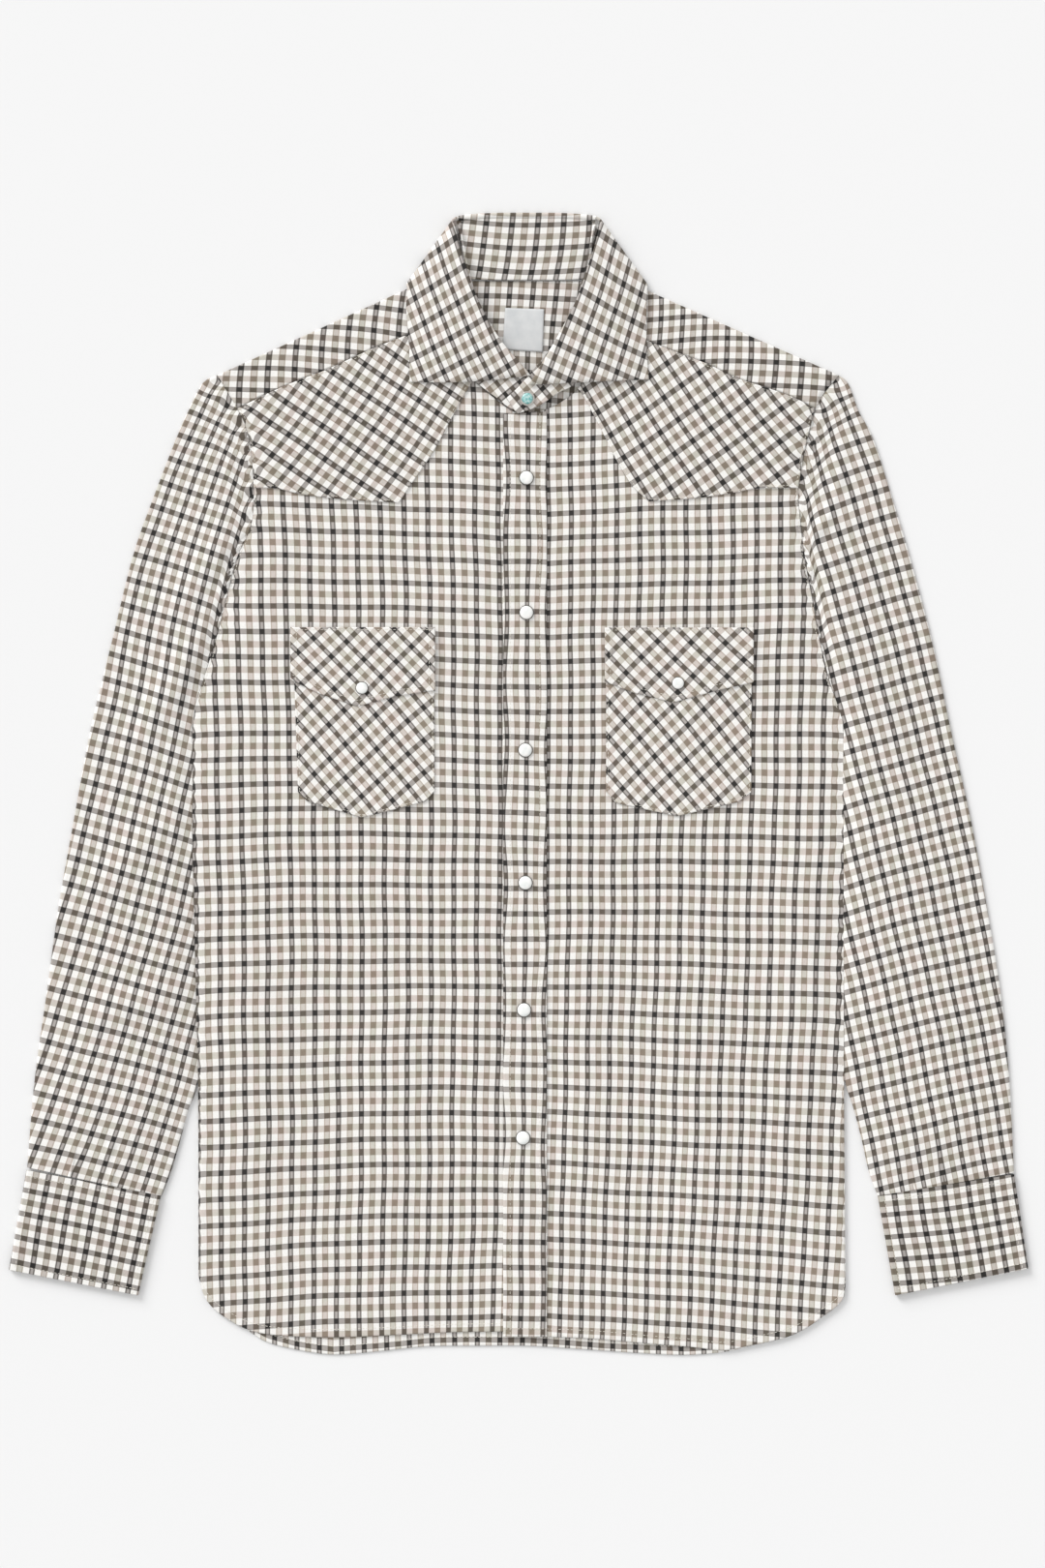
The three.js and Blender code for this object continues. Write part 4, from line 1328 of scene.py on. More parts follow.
@dataclass
class BackYoke:
    """The back yoke: under the neck, and turned over both shoulders to the forward seams."""

    columns: int = 46
    neck_columns: int = 20
    base_rows: int = 22
    over_rows: int = 16
    fold_rows: int = 7
    tone: float = 0.5
    rim: float = 5.0
    grain: Grain = Grain((10.2, 362.0), (17.14, -0.86), (-1.6, -18.6), (-1.5, -2, -2),
                         (-2.1, 2, -1), seed=6.0)
    over_grain: dict[Side, Grain] = field(default_factory=lambda: {
        Side.LEFT: Grain((-146.1, 323.2), (19.15, -1.45), (-1.35, -16.87),
                         (1.4, 5.2, -8.0), (-4.1, 9.0, -5.0), seed=7.0),
        Side.RIGHT: Grain((154.1, 313.9), (17.91, 0.37), (-1.55, -17.46),
                          (-5.3, 4.3, 6.0), (-5.1, -5.6, -6.0), seed=8.0),
    })

    def base_edges(self) -> Edges:
        """Edges of the part that lies under the neck and the shoulders.

        Returns:
            The edges.
        """
        (left_outer, left_neck), (right_outer, right_neck) = SHOULDER_FOLD.values()
        top = straight(left_outer, left_neck, *YOKE_NECK, right_neck, right_outer)
        left = body_side(Side.LEFT, SHOULDER_CORNER_Y, BACK_YOKE_SEAM_Y)
        right = body_side(Side.RIGHT, SHOULDER_CORNER_Y, BACK_YOKE_SEAM_Y)
        bottom = straight(left.points[-1], right.points[-1])
        return top, bottom, left, right

    def shares(self) -> Array:
        """Shares of the top edge at the columns, with columns at its corners.

        Returns:
            The shares, rising from 0 to 1.
        """
        top = self.base_edges()[0]
        corners = top.shares
        counts = (self.columns, 2, self.neck_columns, 2, self.columns)
        parts = [np.linspace(corners[i], corners[i + 1], n, endpoint=False)
                 for i, n in enumerate(counts)]
        return np.concatenate([*parts, [1.0]])

    def over(self, side: Side, t: Array, v: Array) -> Array:
        """Points of the part that is turned over, from the fold to the forward seam.

        Args:
            side: Side of the shirt.
            t: Shares from the shoulder to the neck.
            v: Shares from the fold to the seam.

        Returns:
            Points of the grid.
        """
        outer, neck = SHOULDER_FOLD[side]
        seam = Path(FORWARD_SEAM[side])
        first = body_side(side, SHOULDER_CORNER_Y, FORWARD_SEAM_Y)
        return patch(straight(outer, neck), seam, first, straight(neck, seam.points[-1]), t, v)

    def make(self, wardrobe: Wardrobe) -> None:
        """Builds the folded sheet.

        Args:
            wardrobe: The materials of the shirt.
        """
        top, bottom, left, right = self.base_edges()
        u = self.shares()
        v = np.linspace(1, 0, self.base_rows + 1)
        base = patch(top, bottom, left, right, u, v)
        shoulder = self.columns
        t = np.linspace(0, 1, shoulder + 1)
        w = np.linspace(0, 1, self.over_rows + 1)
        overs = self.over(Side.LEFT, t, w), self.over(Side.RIGHT, t, w)[:, ::-1]
        columns = len(u)
        over = np.repeat(base[-1:], self.over_rows + 1, axis=0)
        over[:, :shoulder + 1] = overs[0]
        over[:, -(shoulder + 1):] = overs[1]
        out, inn = self.skin(base, over, 1.0), self.skin(base, over, 0.0)
        keep = np.ones((out.shape[0] - 1, columns - 1), bool)
        keep[self.base_rows:, shoulder:-shoulder] = False
        points, faces, used = close_sheet(out, inn, keep)
        maps = cloth_maps(self.cells(out), np.full(out.shape[:2], self.rim), self.tone, used)
        piece = make_object("cloth_back_yoke", points, faces, [wardrobe.check], maps)
        dress(piece, "back_yoke")

    def skin(self, base: Array, over: Array, outside: float) -> Array:
        """Points of one skin: under the neck, round the fold and over to the seam.

        Args:
            base: Grid of the part under the neck.
            over: Grid of the part that is turned over.
            outside: 1 for the outer skin and 0 for the inner one.

        Returns:
            Points of the skin, rows by columns by three.
        """
        height = FRONT_Z + CLOTH / 2
        wall = CLOTH * (1 - outside)
        radius = height / 2 - wall
        span = np.linalg.norm(over[-1] - over[0], axis=-1)
        toward = (over[-1] - over[0]) / np.maximum(span, 1e-6)[:, None]
        fold = [
            np.dstack([
                (over[0] + toward * (height / 2 - radius * math.cos(angle)))[None],
                np.full((1, over.shape[1], 1), height / 2 + radius * math.sin(angle)),
            ])
            for angle in np.linspace(-math.pi / 2, math.pi / 2, self.fold_rows)
        ]
        low = np.dstack([base[:-1], np.full(base.shape[:2], wall)[:-1]])
        near = fold[0].copy()
        gap = slice(self.columns + 1, -(self.columns + 1))
        near[:, gap, :2] = base[-1, gap]
        near[..., 2] = wall
        x, y = over[..., 0], over[..., 1]
        lift = (DRAPE.lift(x, y) + 0.25 * SoftNoise(21, 24)(x, y)) * smooth((span - 2) / 8)
        rise = np.linspace(0, 1, over.shape[0])[1:, None]
        high = np.dstack([
            over[1:] + toward[None] * (height / 2 * (1 - rise) * (rise < 0.2))[..., None],
            height - wall + lift[1:] * smooth(rise / 0.3),
        ])
        return np.vstack([low, near, *fold[1:], high])

    def cells(self, skin: Array) -> Array:
        """Repeats of the check: one lay under the neck and one over each shoulder.

        Args:
            skin: Points of one skin.

        Returns:
            Repeats of the warp and the weft.
        """
        x, y = skin[..., 0], skin[..., 1]
        made = self.grain.cells(x, y)
        turned = np.arange(skin.shape[0])[:, None] > self.base_rows + 1
        for side in Side:
            half = turned & ((x - NECK_MIDDLE_X) * side.sign > 0)
            made = np.where(half[..., None], self.over_grain[side].cells(x, y), made)
        return made


@dataclass
class Pockets:
    """The two chest pockets and their pointed flaps."""

    grain: dict[Side, Grain] = field(default_factory=lambda: {
        Side.LEFT: Grain((-117.3, 15.6), (-11.47, -10.75), (11.78, -13.97),
                         (-1.6, 0.6, -0.4), (-3.1, -2.7, 2.1), seed=9.0),
        Side.RIGHT: Grain((124.9, 17.7), (-12.0, -11.33), (11.56, -14.09),
                          (-1.8, 1.6, 1.2), (-2.6, 1.2, 0.1), seed=10.0),
    })
    flap_grain: dict[Side, Grain] = field(default_factory=lambda: {
        Side.LEFT: Grain((-115.2, 92.7), (-11.17, -10.96), (12.98, -13.21),
                         (1.1, 4.7, -0.6), (1.5, 0.5, -3.1), seed=11.0),
        Side.RIGHT: Grain((116.6, 93.1), (-11.72, -11.9), (13.2, -12.78),
                          (2.7, 2.2, -0.6), (0.6, -1.7, -2.9), seed=12.0),
    })
    pocket: dict[Side, tuple[Point, ...]] = field(default_factory=lambda: {
        Side.LEFT: ((-168, 115.5), (-62.5, 115.5), (-62.5, -5), (-69, -13), (-116.5, -25),
                    (-157, -13), (-164, -6)),
        Side.RIGHT: ((65, 115.5), (173.5, 115.5), (173, -6), (163, -13.5), (117.5, -24),
                     (72, -14), (65, -6)),
    })
    flap: dict[Side, tuple[Point, ...]] = field(default_factory=lambda: {
        Side.LEFT: ((-169.5, 116.5), (-62, 116.5), (-62, 69.5), (-92, 65), (-120, 57.5),
                    (-148, 67), (-169.5, 77.5)),
        Side.RIGHT: ((64, 116.2), (174.7, 116.2), (174.7, 75.5), (148, 69.5), (115, 60.5),
                     (86, 67.5), (64, 76)),
    })

    @staticmethod
    def outline(corners: tuple[Point, ...]) -> Edges:
        """Edges of a pointed patch from its corners, clockwise from the upper left."""
        a, b, c, d, tip, e, f = corners
        return straight(a, b), straight(f, e, tip, d, c), straight(a, f), straight(b, c)

    def make(self, wardrobe: Wardrobe) -> None:
        """Builds both pockets and flaps.

        Args:
            wardrobe: The materials of the shirt.
        """
        for side in Side:
            sewn = Edge(stitch=1.9, pucker=0.1)
            front, middle = f"front_{side.value}", 118 * side.sign
            Panel(
                f"pocket_{side.value}", self.outline(self.pocket[side]), APPLIED_Z,
                self.grain[side], (HIDDEN, sewn, sewn, sewn), flat=(0.108, 0.141),
                rests_on=(front,), area=0.0142, step=3.0, waves=0.15,
                relief=(Crease((middle, 90), (middle, 0), 46, 0.5),),
            ).make(wardrobe)
            Panel(
                f"flap_{side.value}", self.outline(self.flap[side]), FLAP_Z + 0.15,
                self.flap_grain[side],
                (sewn, Edge(stitch=4.4, pucker=0.12), Edge(stitch=4.4), Edge(stitch=4.4)),
                flat=(0.11, 0.059), rests_on=(f"pocket_{side.value}",), area=0.0056,
                step=2.6, waves=0.15,
            ).make(wardrobe)


@dataclass
class Tube:
    """A flattened tube of cloth: a sleeve or a cuff.

    Attributes:
        node: Node that it replaces.
        edges: Paths of the top, bottom, outer and inner edges.
        height: Thickness of the flattened tube at rest.
        grain: How the check lies on it.
        flat: Width all round and length of the cut, in metres; not used.
        area: Flat area of the cut, in square metres; not used.
        fold: Radius over which the folded edges round off.
        fullness: How far the upper cloth stands clear in the middle.
        creases: Soft ridges of the upper cloth.
        pleats: Places of the pleats at the lower end, as shares of the width.
        tuck: Whether the inner edge runs under the body below the armpit.
        press: How far the upper end is pressed down to its seam.
        step: Size of the grid's cells.
        wall: Thickness of the cloth.
        side: Side of the shirt.
        stitched: Distance of stitch lines from the ends and edges, or 0.
        border: Share of the width, at each side, over which the unevenness fades in.
        pleat: Width and length of a pleat's ridge, as shares, and its height.
        rough: Height of the cloth's own unevenness.
        gather: Shift of warp and weft at the armhole, in repeats, and height of the puckers.
    """

    node: str
    edges: Edges
    height: float
    grain: Grain
    flat: Point
    area: float
    side: Side
    fold: float = 2.6
    fullness: float = 0.0
    creases: tuple[Crease, ...] = ()
    pleats: tuple[float, ...] = ()
    tuck: bool = False
    press: float = 0.0
    step: float = 4.0
    wall: float = 0.9
    stitched: float = 0.0
    rough: float = 0.35
    border: float = 0.16
    pleat: tuple[float, float, float] = (0.045, 0.07, 0.9)
    gather: tuple[float, float, float] = (0.0, 0.0, 0.0)

    def clear_body(self, plan: Array, inward: Array, down: Array) -> None:
        """Keeps the grid beside the body, where its top and inner edges meet almost in line.

        Args:
            plan: The grid in the plane, rows by columns by two.
            inward: Distance of each column from the inner edge.
            down: Distance of each row from the armhole.
        """
        top, _, _, inner = self.edges
        bound = np.vstack([top.points, inner.points[1:]])[::-1]
        limit = np.interp(plan[..., 1], bound[:, 1], bound[:, 0])
        clear = 0.25 * np.minimum(inward[None, :], down[:, None])
        away = np.maximum(self.side.sign * (plan[..., 0] - limit), clear)
        plan[..., 0] = limit + self.side.sign * away

    def gathered(self, top: Array, y: Array) -> tuple[Array, Array]:
        """How the cap is eased into the armhole: shift of the check, and waves of its puckers.

        Args:
            top: Distances from the armhole.
            y: Places up the shirt.

        Returns:
            Shift of the check in repeats, and the waves in millimetres.
        """
        upper = smooth((y - 70) / 90)
        near = smooth(1 - (top - 6) / 28) * upper
        wave = np.sin(y / 1.9 + 2.2 * np.sin(y / 13) + top / 6) * np.exp(-top / 9)
        wave = wave * (0.2 + 0.8 * upper)
        warp, weft, pucker = self.gather
        return near[..., None] * (warp, weft), pucker * wave

    def lift(self, plan: Array, u: Array, v: Array) -> Array:
        """Rise of the upper cloth over the flattened tube.

        Args:
            plan: The grid in the plane, rows by columns by two.
            u: Shares of the columns.
            v: Shares of the rows.

        Returns:
            The rise, in millimetres.
        """
        x, y = plan[..., 0], plan[..., 1]
        a, b = u[None, :], v[:, None]
        inside = smooth(a / self.border) * smooth((1 - a) / self.border)
        rise = self.fullness * smooth(a / 0.35) * smooth((1 - a) / 0.35) \
            * smooth(b / 0.12) * smooth((1 - b) / 0.1)
        uneven = SoftNoise(31, 52)(x, y) + 0.5 * SoftNoise(37, 21)(x, y)
        rise = rise + self.rough * inside * uneven
        for crease in self.creases:
            rise = rise + crease.lift(x, y) * inside
        width, length, height = self.pleat
        for share in self.pleats:
            across = (a - share) / width
            ridge = np.where(across < 0, smooth(1 + across), smooth(1 - across * 4))
            rise = rise + height * ridge * smooth(1 - (1 - b) / length)
        return rise

    def make(self, wardrobe: Wardrobe) -> None:
        """Builds the tube with an inner and an outer skin.

        Args:
            wardrobe: The materials of the shirt.
        """
        top, bottom, outer, inner = self.edges
        width = (top.length + bottom.length) / 2
        extra = np.array([s + d / width for s in self.pleats for d in (-0.6, -0.2, 0.2, 0.7, 1.4)])
        rounding = (0.15, 0.4, 0.8, 1.3, 1.9, 2.6, 3.6)
        u = np.unique(np.concatenate([graded(width, self.step, rounding), extra]))
        v = graded((outer.length + inner.length) / 2, 1.4 * self.step)
        plan = patch(top, bottom, outer, inner, u, v)
        if self.tuck:
            self.clear_body(plan, (1 - u) * width, v * (outer.length + inner.length) / 2)
        away = distances(plan)
        shift, wave = self.gathered(away["top"], plan[..., 1])
        lift = self.lift(plan, u, v) + wave * smooth(away["top"] / 1.5)
        skins = self.skins(plan, u, lift, away)
        rows, around = skins[0].shape[:2]
        number = np.arange(rows * around).reshape(rows, around)
        ahead = np.roll(number, -1, axis=1)
        shell = np.stack([number[:-1], ahead[:-1], ahead[1:], number[1:]], -1).reshape(-1, 4)
        count = rows * around
        ends = [np.stack([number[k], ahead[k], ahead[k] + count, number[k] + count], -1)
                for k in (0, -1)]
        faces = np.vstack([shell, shell[:, ::-1] + count, *ends]).tolist()
        cells = self.grain.cells(skins[0][..., 0], skins[0][..., 1])
        cells += np.hstack([shift + wave[..., None] * (0.12, 0.16), shift[:, ::-1]])
        for share in self.pleats:
            at = (np.concatenate([u, u[::-1]])[None, :] - share) * width
            near = smooth(1 - (1 - v[:, None]) / 0.06) * smooth(at / 1.2) * np.exp(-at / 12)
            cells[..., 0] += 0.16 * near * (np.arange(around) < len(u))
        # Painted shade darkens the cloth right along its two ends, from this distance
        rim = np.minimum(away["top"], away["bottom"])
        maps = cloth_maps(cells, np.hstack([rim, rim[:, ::-1]]), self.grain.tone)
        points = np.vstack([s.reshape(-1, 3) for s in skins])
        piece = make_object(f"cloth_{self.node}", points, faces, [wardrobe.check], maps)
        thread = Thread()
        if self.stitched:
            half = skins[0][:, :len(u)]
            for name in ("top", "bottom", "first", "second"):
                thread.sew(stitch_line(plan, half[..., 2] + 0.03, away[name], self.stitched,
                                       name in ("first", "second")))
        dress(piece, self.node,
              thread.make(f"stitches_{self.node}", wardrobe))

    def skins(self, plan: Array, u: Array, lift: Array, away: dict[str, Array]) -> list[Array]:
        """Points of the outer and inner skin, over the top and back underneath.

        Args:
            plan: The grid in the plane, rows by columns by two.
            u: Shares of the columns.
            lift: Rise of the upper cloth.
            away: Distances from the four edges over the grid, by name.

        Returns:
            The outer skin and the inner one.
        """
        near = np.minimum(away["first"], away["second"])
        ease = np.clip(near / self.fold, 0, 1)
        curve = np.maximum(0.06, np.sqrt(1 - (1 - ease) ** 2))
        upper = self.height / 2 * (1 + curve) + lift * curve
        lower = self.height / 2 * (1 - curve)
        if self.tuck:
            under = smooth((ARMPIT_Y + 4 - plan[..., 1]) / 8) \
                * smooth((plan[..., 1] - TUCK_END_Y) / 14)
            pressed = 1.35 + (upper - 1.35) * smooth(away["second"] / 9)
            upper = (1 - under) * upper + under * np.minimum(upper, pressed)
            lower = np.minimum(lower, upper - 0.1)
        if self.press:
            upper = upper - self.press * (1 - smooth(away["top"] / 5))
        squeeze = self.wall / np.maximum(away["first"] + away["second"], 1e-6)
        shift = (0.5 - u)[None, :] * 2 * squeeze
        inner = plan + shift[..., None] * (plan[:, -1:] - plan[:, :1])
        room = np.minimum(self.wall, 0.48 * (upper - lower))
        return [np.hstack([np.dstack([flat, upper - inset]),
                           np.dstack([flat, lower + inset])[:, ::-1]])
                for flat, inset in ((plan, 0.0), (inner, room))]


@dataclass
class Sleeves:
    """Both sleeves and their cuffs."""

    grain: dict[Side, Grain] = field(default_factory=lambda: {
        Side.LEFT: Grain((-297.8, -5.1), (16.34, -4.83), (-4.31, -18.73), (4.95, 0.0, 1.12),
                         (-2.1, -0.43, 0.03), seed=13.0, turn=(110, -7.0), tone=0.3),
        Side.RIGHT: Grain((309.4, -17.3), (15.6, 4.26), (4.37, -18.85), (2.1, -0.64, 0.52),
                          (-2.1, 0.04, 0.53), seed=14.0, turn=(215, 6.5), tone=0.3),
    })
    cuff_grain: dict[Side, Grain] = field(default_factory=lambda: {
        Side.LEFT: Grain((-318.3, -330.1), (18.17, -3.95), (-3.36, -17.24),
                         (0.4, -1.9, 0.3), (-0.8, -2.8, -3.9), seed=15.0, tone=0.9),
        Side.RIGHT: Grain((321.7, -332.3), (18.06, 2.6), (2.81, -16.79),
                          (4.4, 2.4, -0.9), (5.0, 3.4, -4.7), seed=16.0, tone=0.9),
    })
    gather: dict[Side, tuple[float, float, float]] = field(default_factory=lambda: {
        Side.LEFT: (0.0, -0.22, 1.0), Side.RIGHT: (-0.1, -0.42, 1.1),
    })
    pleats: dict[Side, tuple[float, ...]] = field(default_factory=lambda: {
        Side.LEFT: (0.32, 0.62), Side.RIGHT: (0.5, 0.72),
    })
    creases: dict[Side, tuple[Crease, ...]] = field(default_factory=lambda: {
        Side.LEFT: (
            Crease((-214, 190), (-262, 120), 16, 1.5), Crease((-228, 120), (-290, 20), 18, 1.7),
            Crease((-250, -20), (-318, -80), 20, 1.5), Crease((-256, -150), (-330, -180), 20, 1.3),
            Crease((-238, 262), (-226, 226), 10, 1.0), Crease((-324, -36), (-326, -52), 5, 1.3),
            Crease((-301, -264), (-305, -276), 4, 1.6), Crease((-217, 246), (-214, 232), 5, 1.2),
            Crease((-214, 160), (-226, 128), 6, 1.2),
        ),
        Side.RIGHT: (
            Crease((235, 206), (215, 176), 5.5, 2.2), Crease((228, 112), (292, 30), 18, 1.7),
            Crease((252, -30), (320, -86), 20, 1.5), Crease((262, -160), (338, -190), 20, 1.3),
            Crease((303, 80), (331, -62), 5, 1.0), Crease((248, 262), (232, 226), 10, 1.0),
            Crease((241, 232), (233, 207), 5, 1.5), Crease((219, 166), (213, 146), 5, 1.4),
        ),
    })

    def make(self, wardrobe: Wardrobe) -> None:
        """Builds the sleeves and the cuffs.

        Args:
            wardrobe: The materials of the shirt.
        """
        for side in Side:
            self.make_sleeve(side, wardrobe)
            self.make_cuff(side, wardrobe)

    def make_sleeve(self, side: Side, wardrobe: Wardrobe) -> None:
        """Builds one sleeve, from the armhole to the cuff seam.

        Args:
            side: Side of the shirt.
            wardrobe: The materials of the shirt.
        """
        armhole = body_side(side, SHOULDER_CORNER_Y, ARMPIT_Y)
        top = Path(armhole.points + np.array([side.sign * 0.05, 0]), soft=False)
        inner = [(x - side.sign * 2.2 * float(smooth((y - TUCK_END_Y) / 20)), y)
                 for x, y in SLEEVE_INNER[side]]
        inner[0] = tuple(top.points[-1])
        outer = Path([tuple(top.points[0]), *SLEEVE_OUTER[side][1:]])
        bottom = straight(SLEEVE_OUTER[side][-1], SLEEVE_INNER[side][-1])
        Tube(
            f"sleeve_{side.value}", (top, bottom, outer, Path(inner)), 2.7, self.grain[side],
            flat=(0.39, 0.64), area=0.118, side=side, fullness=2.2, creases=self.creases[side],
            pleats=self.pleats[side], tuck=True, press=0.35, step=2.3, gather=self.gather[side],
        ).make(wardrobe)

    def make_cuff(self, side: Side, wardrobe: Wardrobe) -> None:
        """Builds one fastened cuff.

        Args:
            side: Side of the shirt.
            wardrobe: The materials of the shirt.
        """
        Tube(
            f"cuff_{side.value}", four_edges(CUFF[side]), 3.9, self.cuff_grain[side],
            flat=(0.204, 0.075), area=0.0151, side=side, fold=1.7, step=3.0, wall=1.5,
            stitched=4.5, rough=0.12,
        ).make(wardrobe)


@dataclass(frozen=True)
class CollarRow:
    """One section of the collar: where it rolls and ends, and how high it lies there."""

    roll: Point
    end: Point
    roll_z: float
    end_z: float
    under_z: float = 0.0
    bow: float = 0.0


def mirrored(rows: Sequence[CollarRow]) -> list[CollarRow]:
    """The rows of the collar's back on the other side of its middle."""
    return [replace(r, roll=(2 * NECK_MIDDLE_X - r.roll[0], r.roll[1]),
                    end=(2 * NECK_MIDDLE_X - r.end[0], r.end[1])) for r in rows]


@dataclass
class Collar:
    """Stand and leaf, each one strip round the neck."""

    TONE = 0.3
    TURN_STEPS = 7  # lines round the leaf's roll

    stand_back: tuple[CollarRow, ...] = (
        CollarRow((6, 421.5), (6, 374.6), 2.1, 2.1),
        CollarRow((-20, 421.5), (-17, 374.6), 2.1, 2.1),
        CollarRow((-38, 419.5), (-32, 375), 2.1, 2.1),
        CollarRow((-43.5, 417), (-36.5, 375.5), 2.3, 2.3),
        CollarRow((-45, 415.5), (-38, 375.5), 3.7, 3.7),
    )
    stand_left: tuple[CollarRow, ...] = (
        CollarRow((-43.5, 413.5), (-37, 374.5), 5.1, 5.1),
        CollarRow((-40, 397), (-46, 367), 7, 5.1),
        CollarRow((-36, 377), (-54, 351), 8, 5.1),
        CollarRow((-30, 359), (-55, 333), 8, 5.1),
        CollarRow((-22, 341), (-48, 313), 8, 5.1),
        CollarRow((-11, 323), (-30, 297), 7.4, 5.1),
        CollarRow((2, 308), (-17, 287.2), 5.8, 5.1),
        CollarRow((10, 301), (-5, 278.6), 5.2, 5.1),
        CollarRow((16, 296), (6, 279.5), 5.1, 5.1),
    )
    stand_right: tuple[CollarRow, ...] = (
        CollarRow((55.5, 413.5), (49, 374.5), 5.1, 5.1),
        CollarRow((52.5, 397), (58, 367), 7, 5.1),
        CollarRow((48, 377), (66, 351), 8, 5.1),
        CollarRow((42.5, 359), (68, 333), 8, 5.1),
        CollarRow((34.5, 341), (61, 314), 8, 5.2),
        CollarRow((22, 321), (41, 296.6), 7.6, 5.8),
        CollarRow((9.4, 306), (29.5, 290.2), 6.8, 6.6),
        CollarRow((0, 295), (15.1, 280.8), 6.6, 6.6),
        CollarRow((-9, 286.5), (-1.2, 274.6), 6.6, 6.6),
    )
    leaf_back: tuple[CollarRow, ...] = (
        CollarRow((6, 424.2), (6, 377), 0.7, 0.6, 2.6),
        CollarRow((-21, 424), (-22, 377), 0.7, 0.6, 2.6),
        CollarRow((-40, 422.6), (-47, 387), 0.9, 0.6, 2.7),
        CollarRow((-46.5, 421), (-76, 374.5), 2.4, 0.7, 3.4),
        CollarRow((-49.5, 418), (-83, 371.8), 4.8, 3, 4.6),
    )
    leaf_left: tuple[CollarRow, ...] = (
        CollarRow((-48, 414), (-82.5, 366), 7.6, 5.4, 5.6),
        CollarRow((-44.5, 401), (-83.5, 354), 9.4, 5.2, 7.0),
        CollarRow((-39, 382), (-82, 335), 10.2, 5.2, 8.0),
        CollarRow((-32.5, 364), (-81.2, 319), 10.4, 5.2, 8.0),
        CollarRow((-24, 346), (-81, 308), 10.4, 5.2, 8.0),
        CollarRow((-12, 327), (-81, 302.5), 9.8, 5.2, 7.4, 0.8),
        CollarRow((9, 303), (-81, 298.5), 8.0, 5.2, 6.4, 2.2),
    )
    leaf_right: tuple[CollarRow, ...] = (
        CollarRow((60.5, 415), (95.5, 366), 7.6, 5.4, 5.6),
        CollarRow((57.5, 401), (95, 354), 9.4, 5.2, 7.0),
        CollarRow((51.5, 383), (95, 337), 10.2, 5.2, 8.0),
        CollarRow((46, 366), (95.5, 322), 10.4, 5.2, 8.0),
        CollarRow((38, 348), (96, 311), 10.4, 5.2, 8.0),
        CollarRow((26.5, 327), (96.5, 305), 10, 5.2, 7.8),
        CollarRow((8.2, 296), (96.8, 300.5), 9.4, 5.2, 7.9),
    )
    stand_grain: Grain = Grain((12.4, 398.2), (19.15, 0.13), (-2.2, -17.36), (0.8, 1.2, 6.0),
                               (6.7, 1.7, -3.9), seed=17.0)
    band_grain: dict[Side, Grain] = field(default_factory=lambda: {
        Side.LEFT: Grain((-9.4, 288.7), (12.2, -15.8), (-10.8, -8.6), seed=20.0),
        Side.RIGHT: Grain((18.0, 293.8), (13.7, 13.0), (10.1, -11.5), seed=21.0),
    })
    leaf_grain: dict[Side, Grain] = field(default_factory=lambda: {
        Side.LEFT: Grain((-57.4, 349.0), (12.42, 7.49), (6.94, -18.66), (-3.9, 8.0, -1.9),
                         (2.7, 6.2, 4.1), seed=18.0),
        Side.RIGHT: Grain((65.2, 331.1), (13.67, -6.75), (-6.29, -19.42), (3.7, 8.0, 0.0),
                          (1.8, -8.0, 4.6), seed=19.0),
    })
    stand_width: float = 42.0
    leaf_width: float = 66.0
    tightest: float = 0.35  # least radius of the roll
    lip: float = 3.0  # how far the leaf's under edge reaches in from its roll
    behind: Point = (52.0, 415.0)  # half width and height of what shows the stand's lay
    steps: int = 7  # rows made for each row of the tables
    band: float = 4.5  # table rows from a front end that have the front band's lay

    def rows(self, back: Sequence[CollarRow], left: Sequence[CollarRow],
             right: Sequence[CollarRow]) -> Array:
        """All rows in order from the left front end, eased between the table's rows.

        Args:
            back: Rows of the back's left half, from its middle.
            left: Rows of the left, towards the front.
            right: Rows of the right, towards the front.

        Returns:
            The numbers of each row.
        """
        order = [*reversed(left), *reversed(back), *mirrored(back[1:]), *right]
        table = np.array(
            [[*r.roll, *r.end, r.roll_z, r.end_z, r.under_z, r.bow] for r in order], float)
        columns = [Path(list(zip(range(len(table)), table[:, k], strict=True)), steps=self.steps)
                   for k in range(table.shape[1])]
        return np.stack([c.points[:, 1] for c in columns], -1)

    def make(self, wardrobe: Wardrobe) -> None:
        """Builds the stand and the leaf."""
        self.make_stand(wardrobe)
        self.make_leaf(wardrobe)

    def make_stand(self, wardrobe: Wardrobe) -> None:
        """Builds the stand, from the roll to the neck seam.

        Args:
            wardrobe: The materials of the shirt.
        """
        rows = self.rows(self.stand_back, self.stand_left, self.stand_right)
        t = graded(self.stand_width, 3.0)[None, :, None]
        roll, end = rows[:, None, 0:2], rows[:, None, 2:4]
        z = rows[:, None, 4:5] * (1 - t) + rows[:, None, 5:6] * t
        middle = np.dstack([roll * (1 - t) + end * t, z])
        x, y = middle[..., 0], middle[..., 1]
        row = np.arange(len(rows))[:, None, None] / self.steps
        cells = np.where(row < self.band, self.band_grain[Side.LEFT].cells(x, y),
                         self.stand_grain.cells(x, y))
        cells = np.where(row > row[-1] - self.band, self.band_grain[Side.RIGHT].cells(x, y), cells)
        piece = self.sheet("cloth_collar_stand", middle, cells, wardrobe)
        dress(piece, "collar_stand")

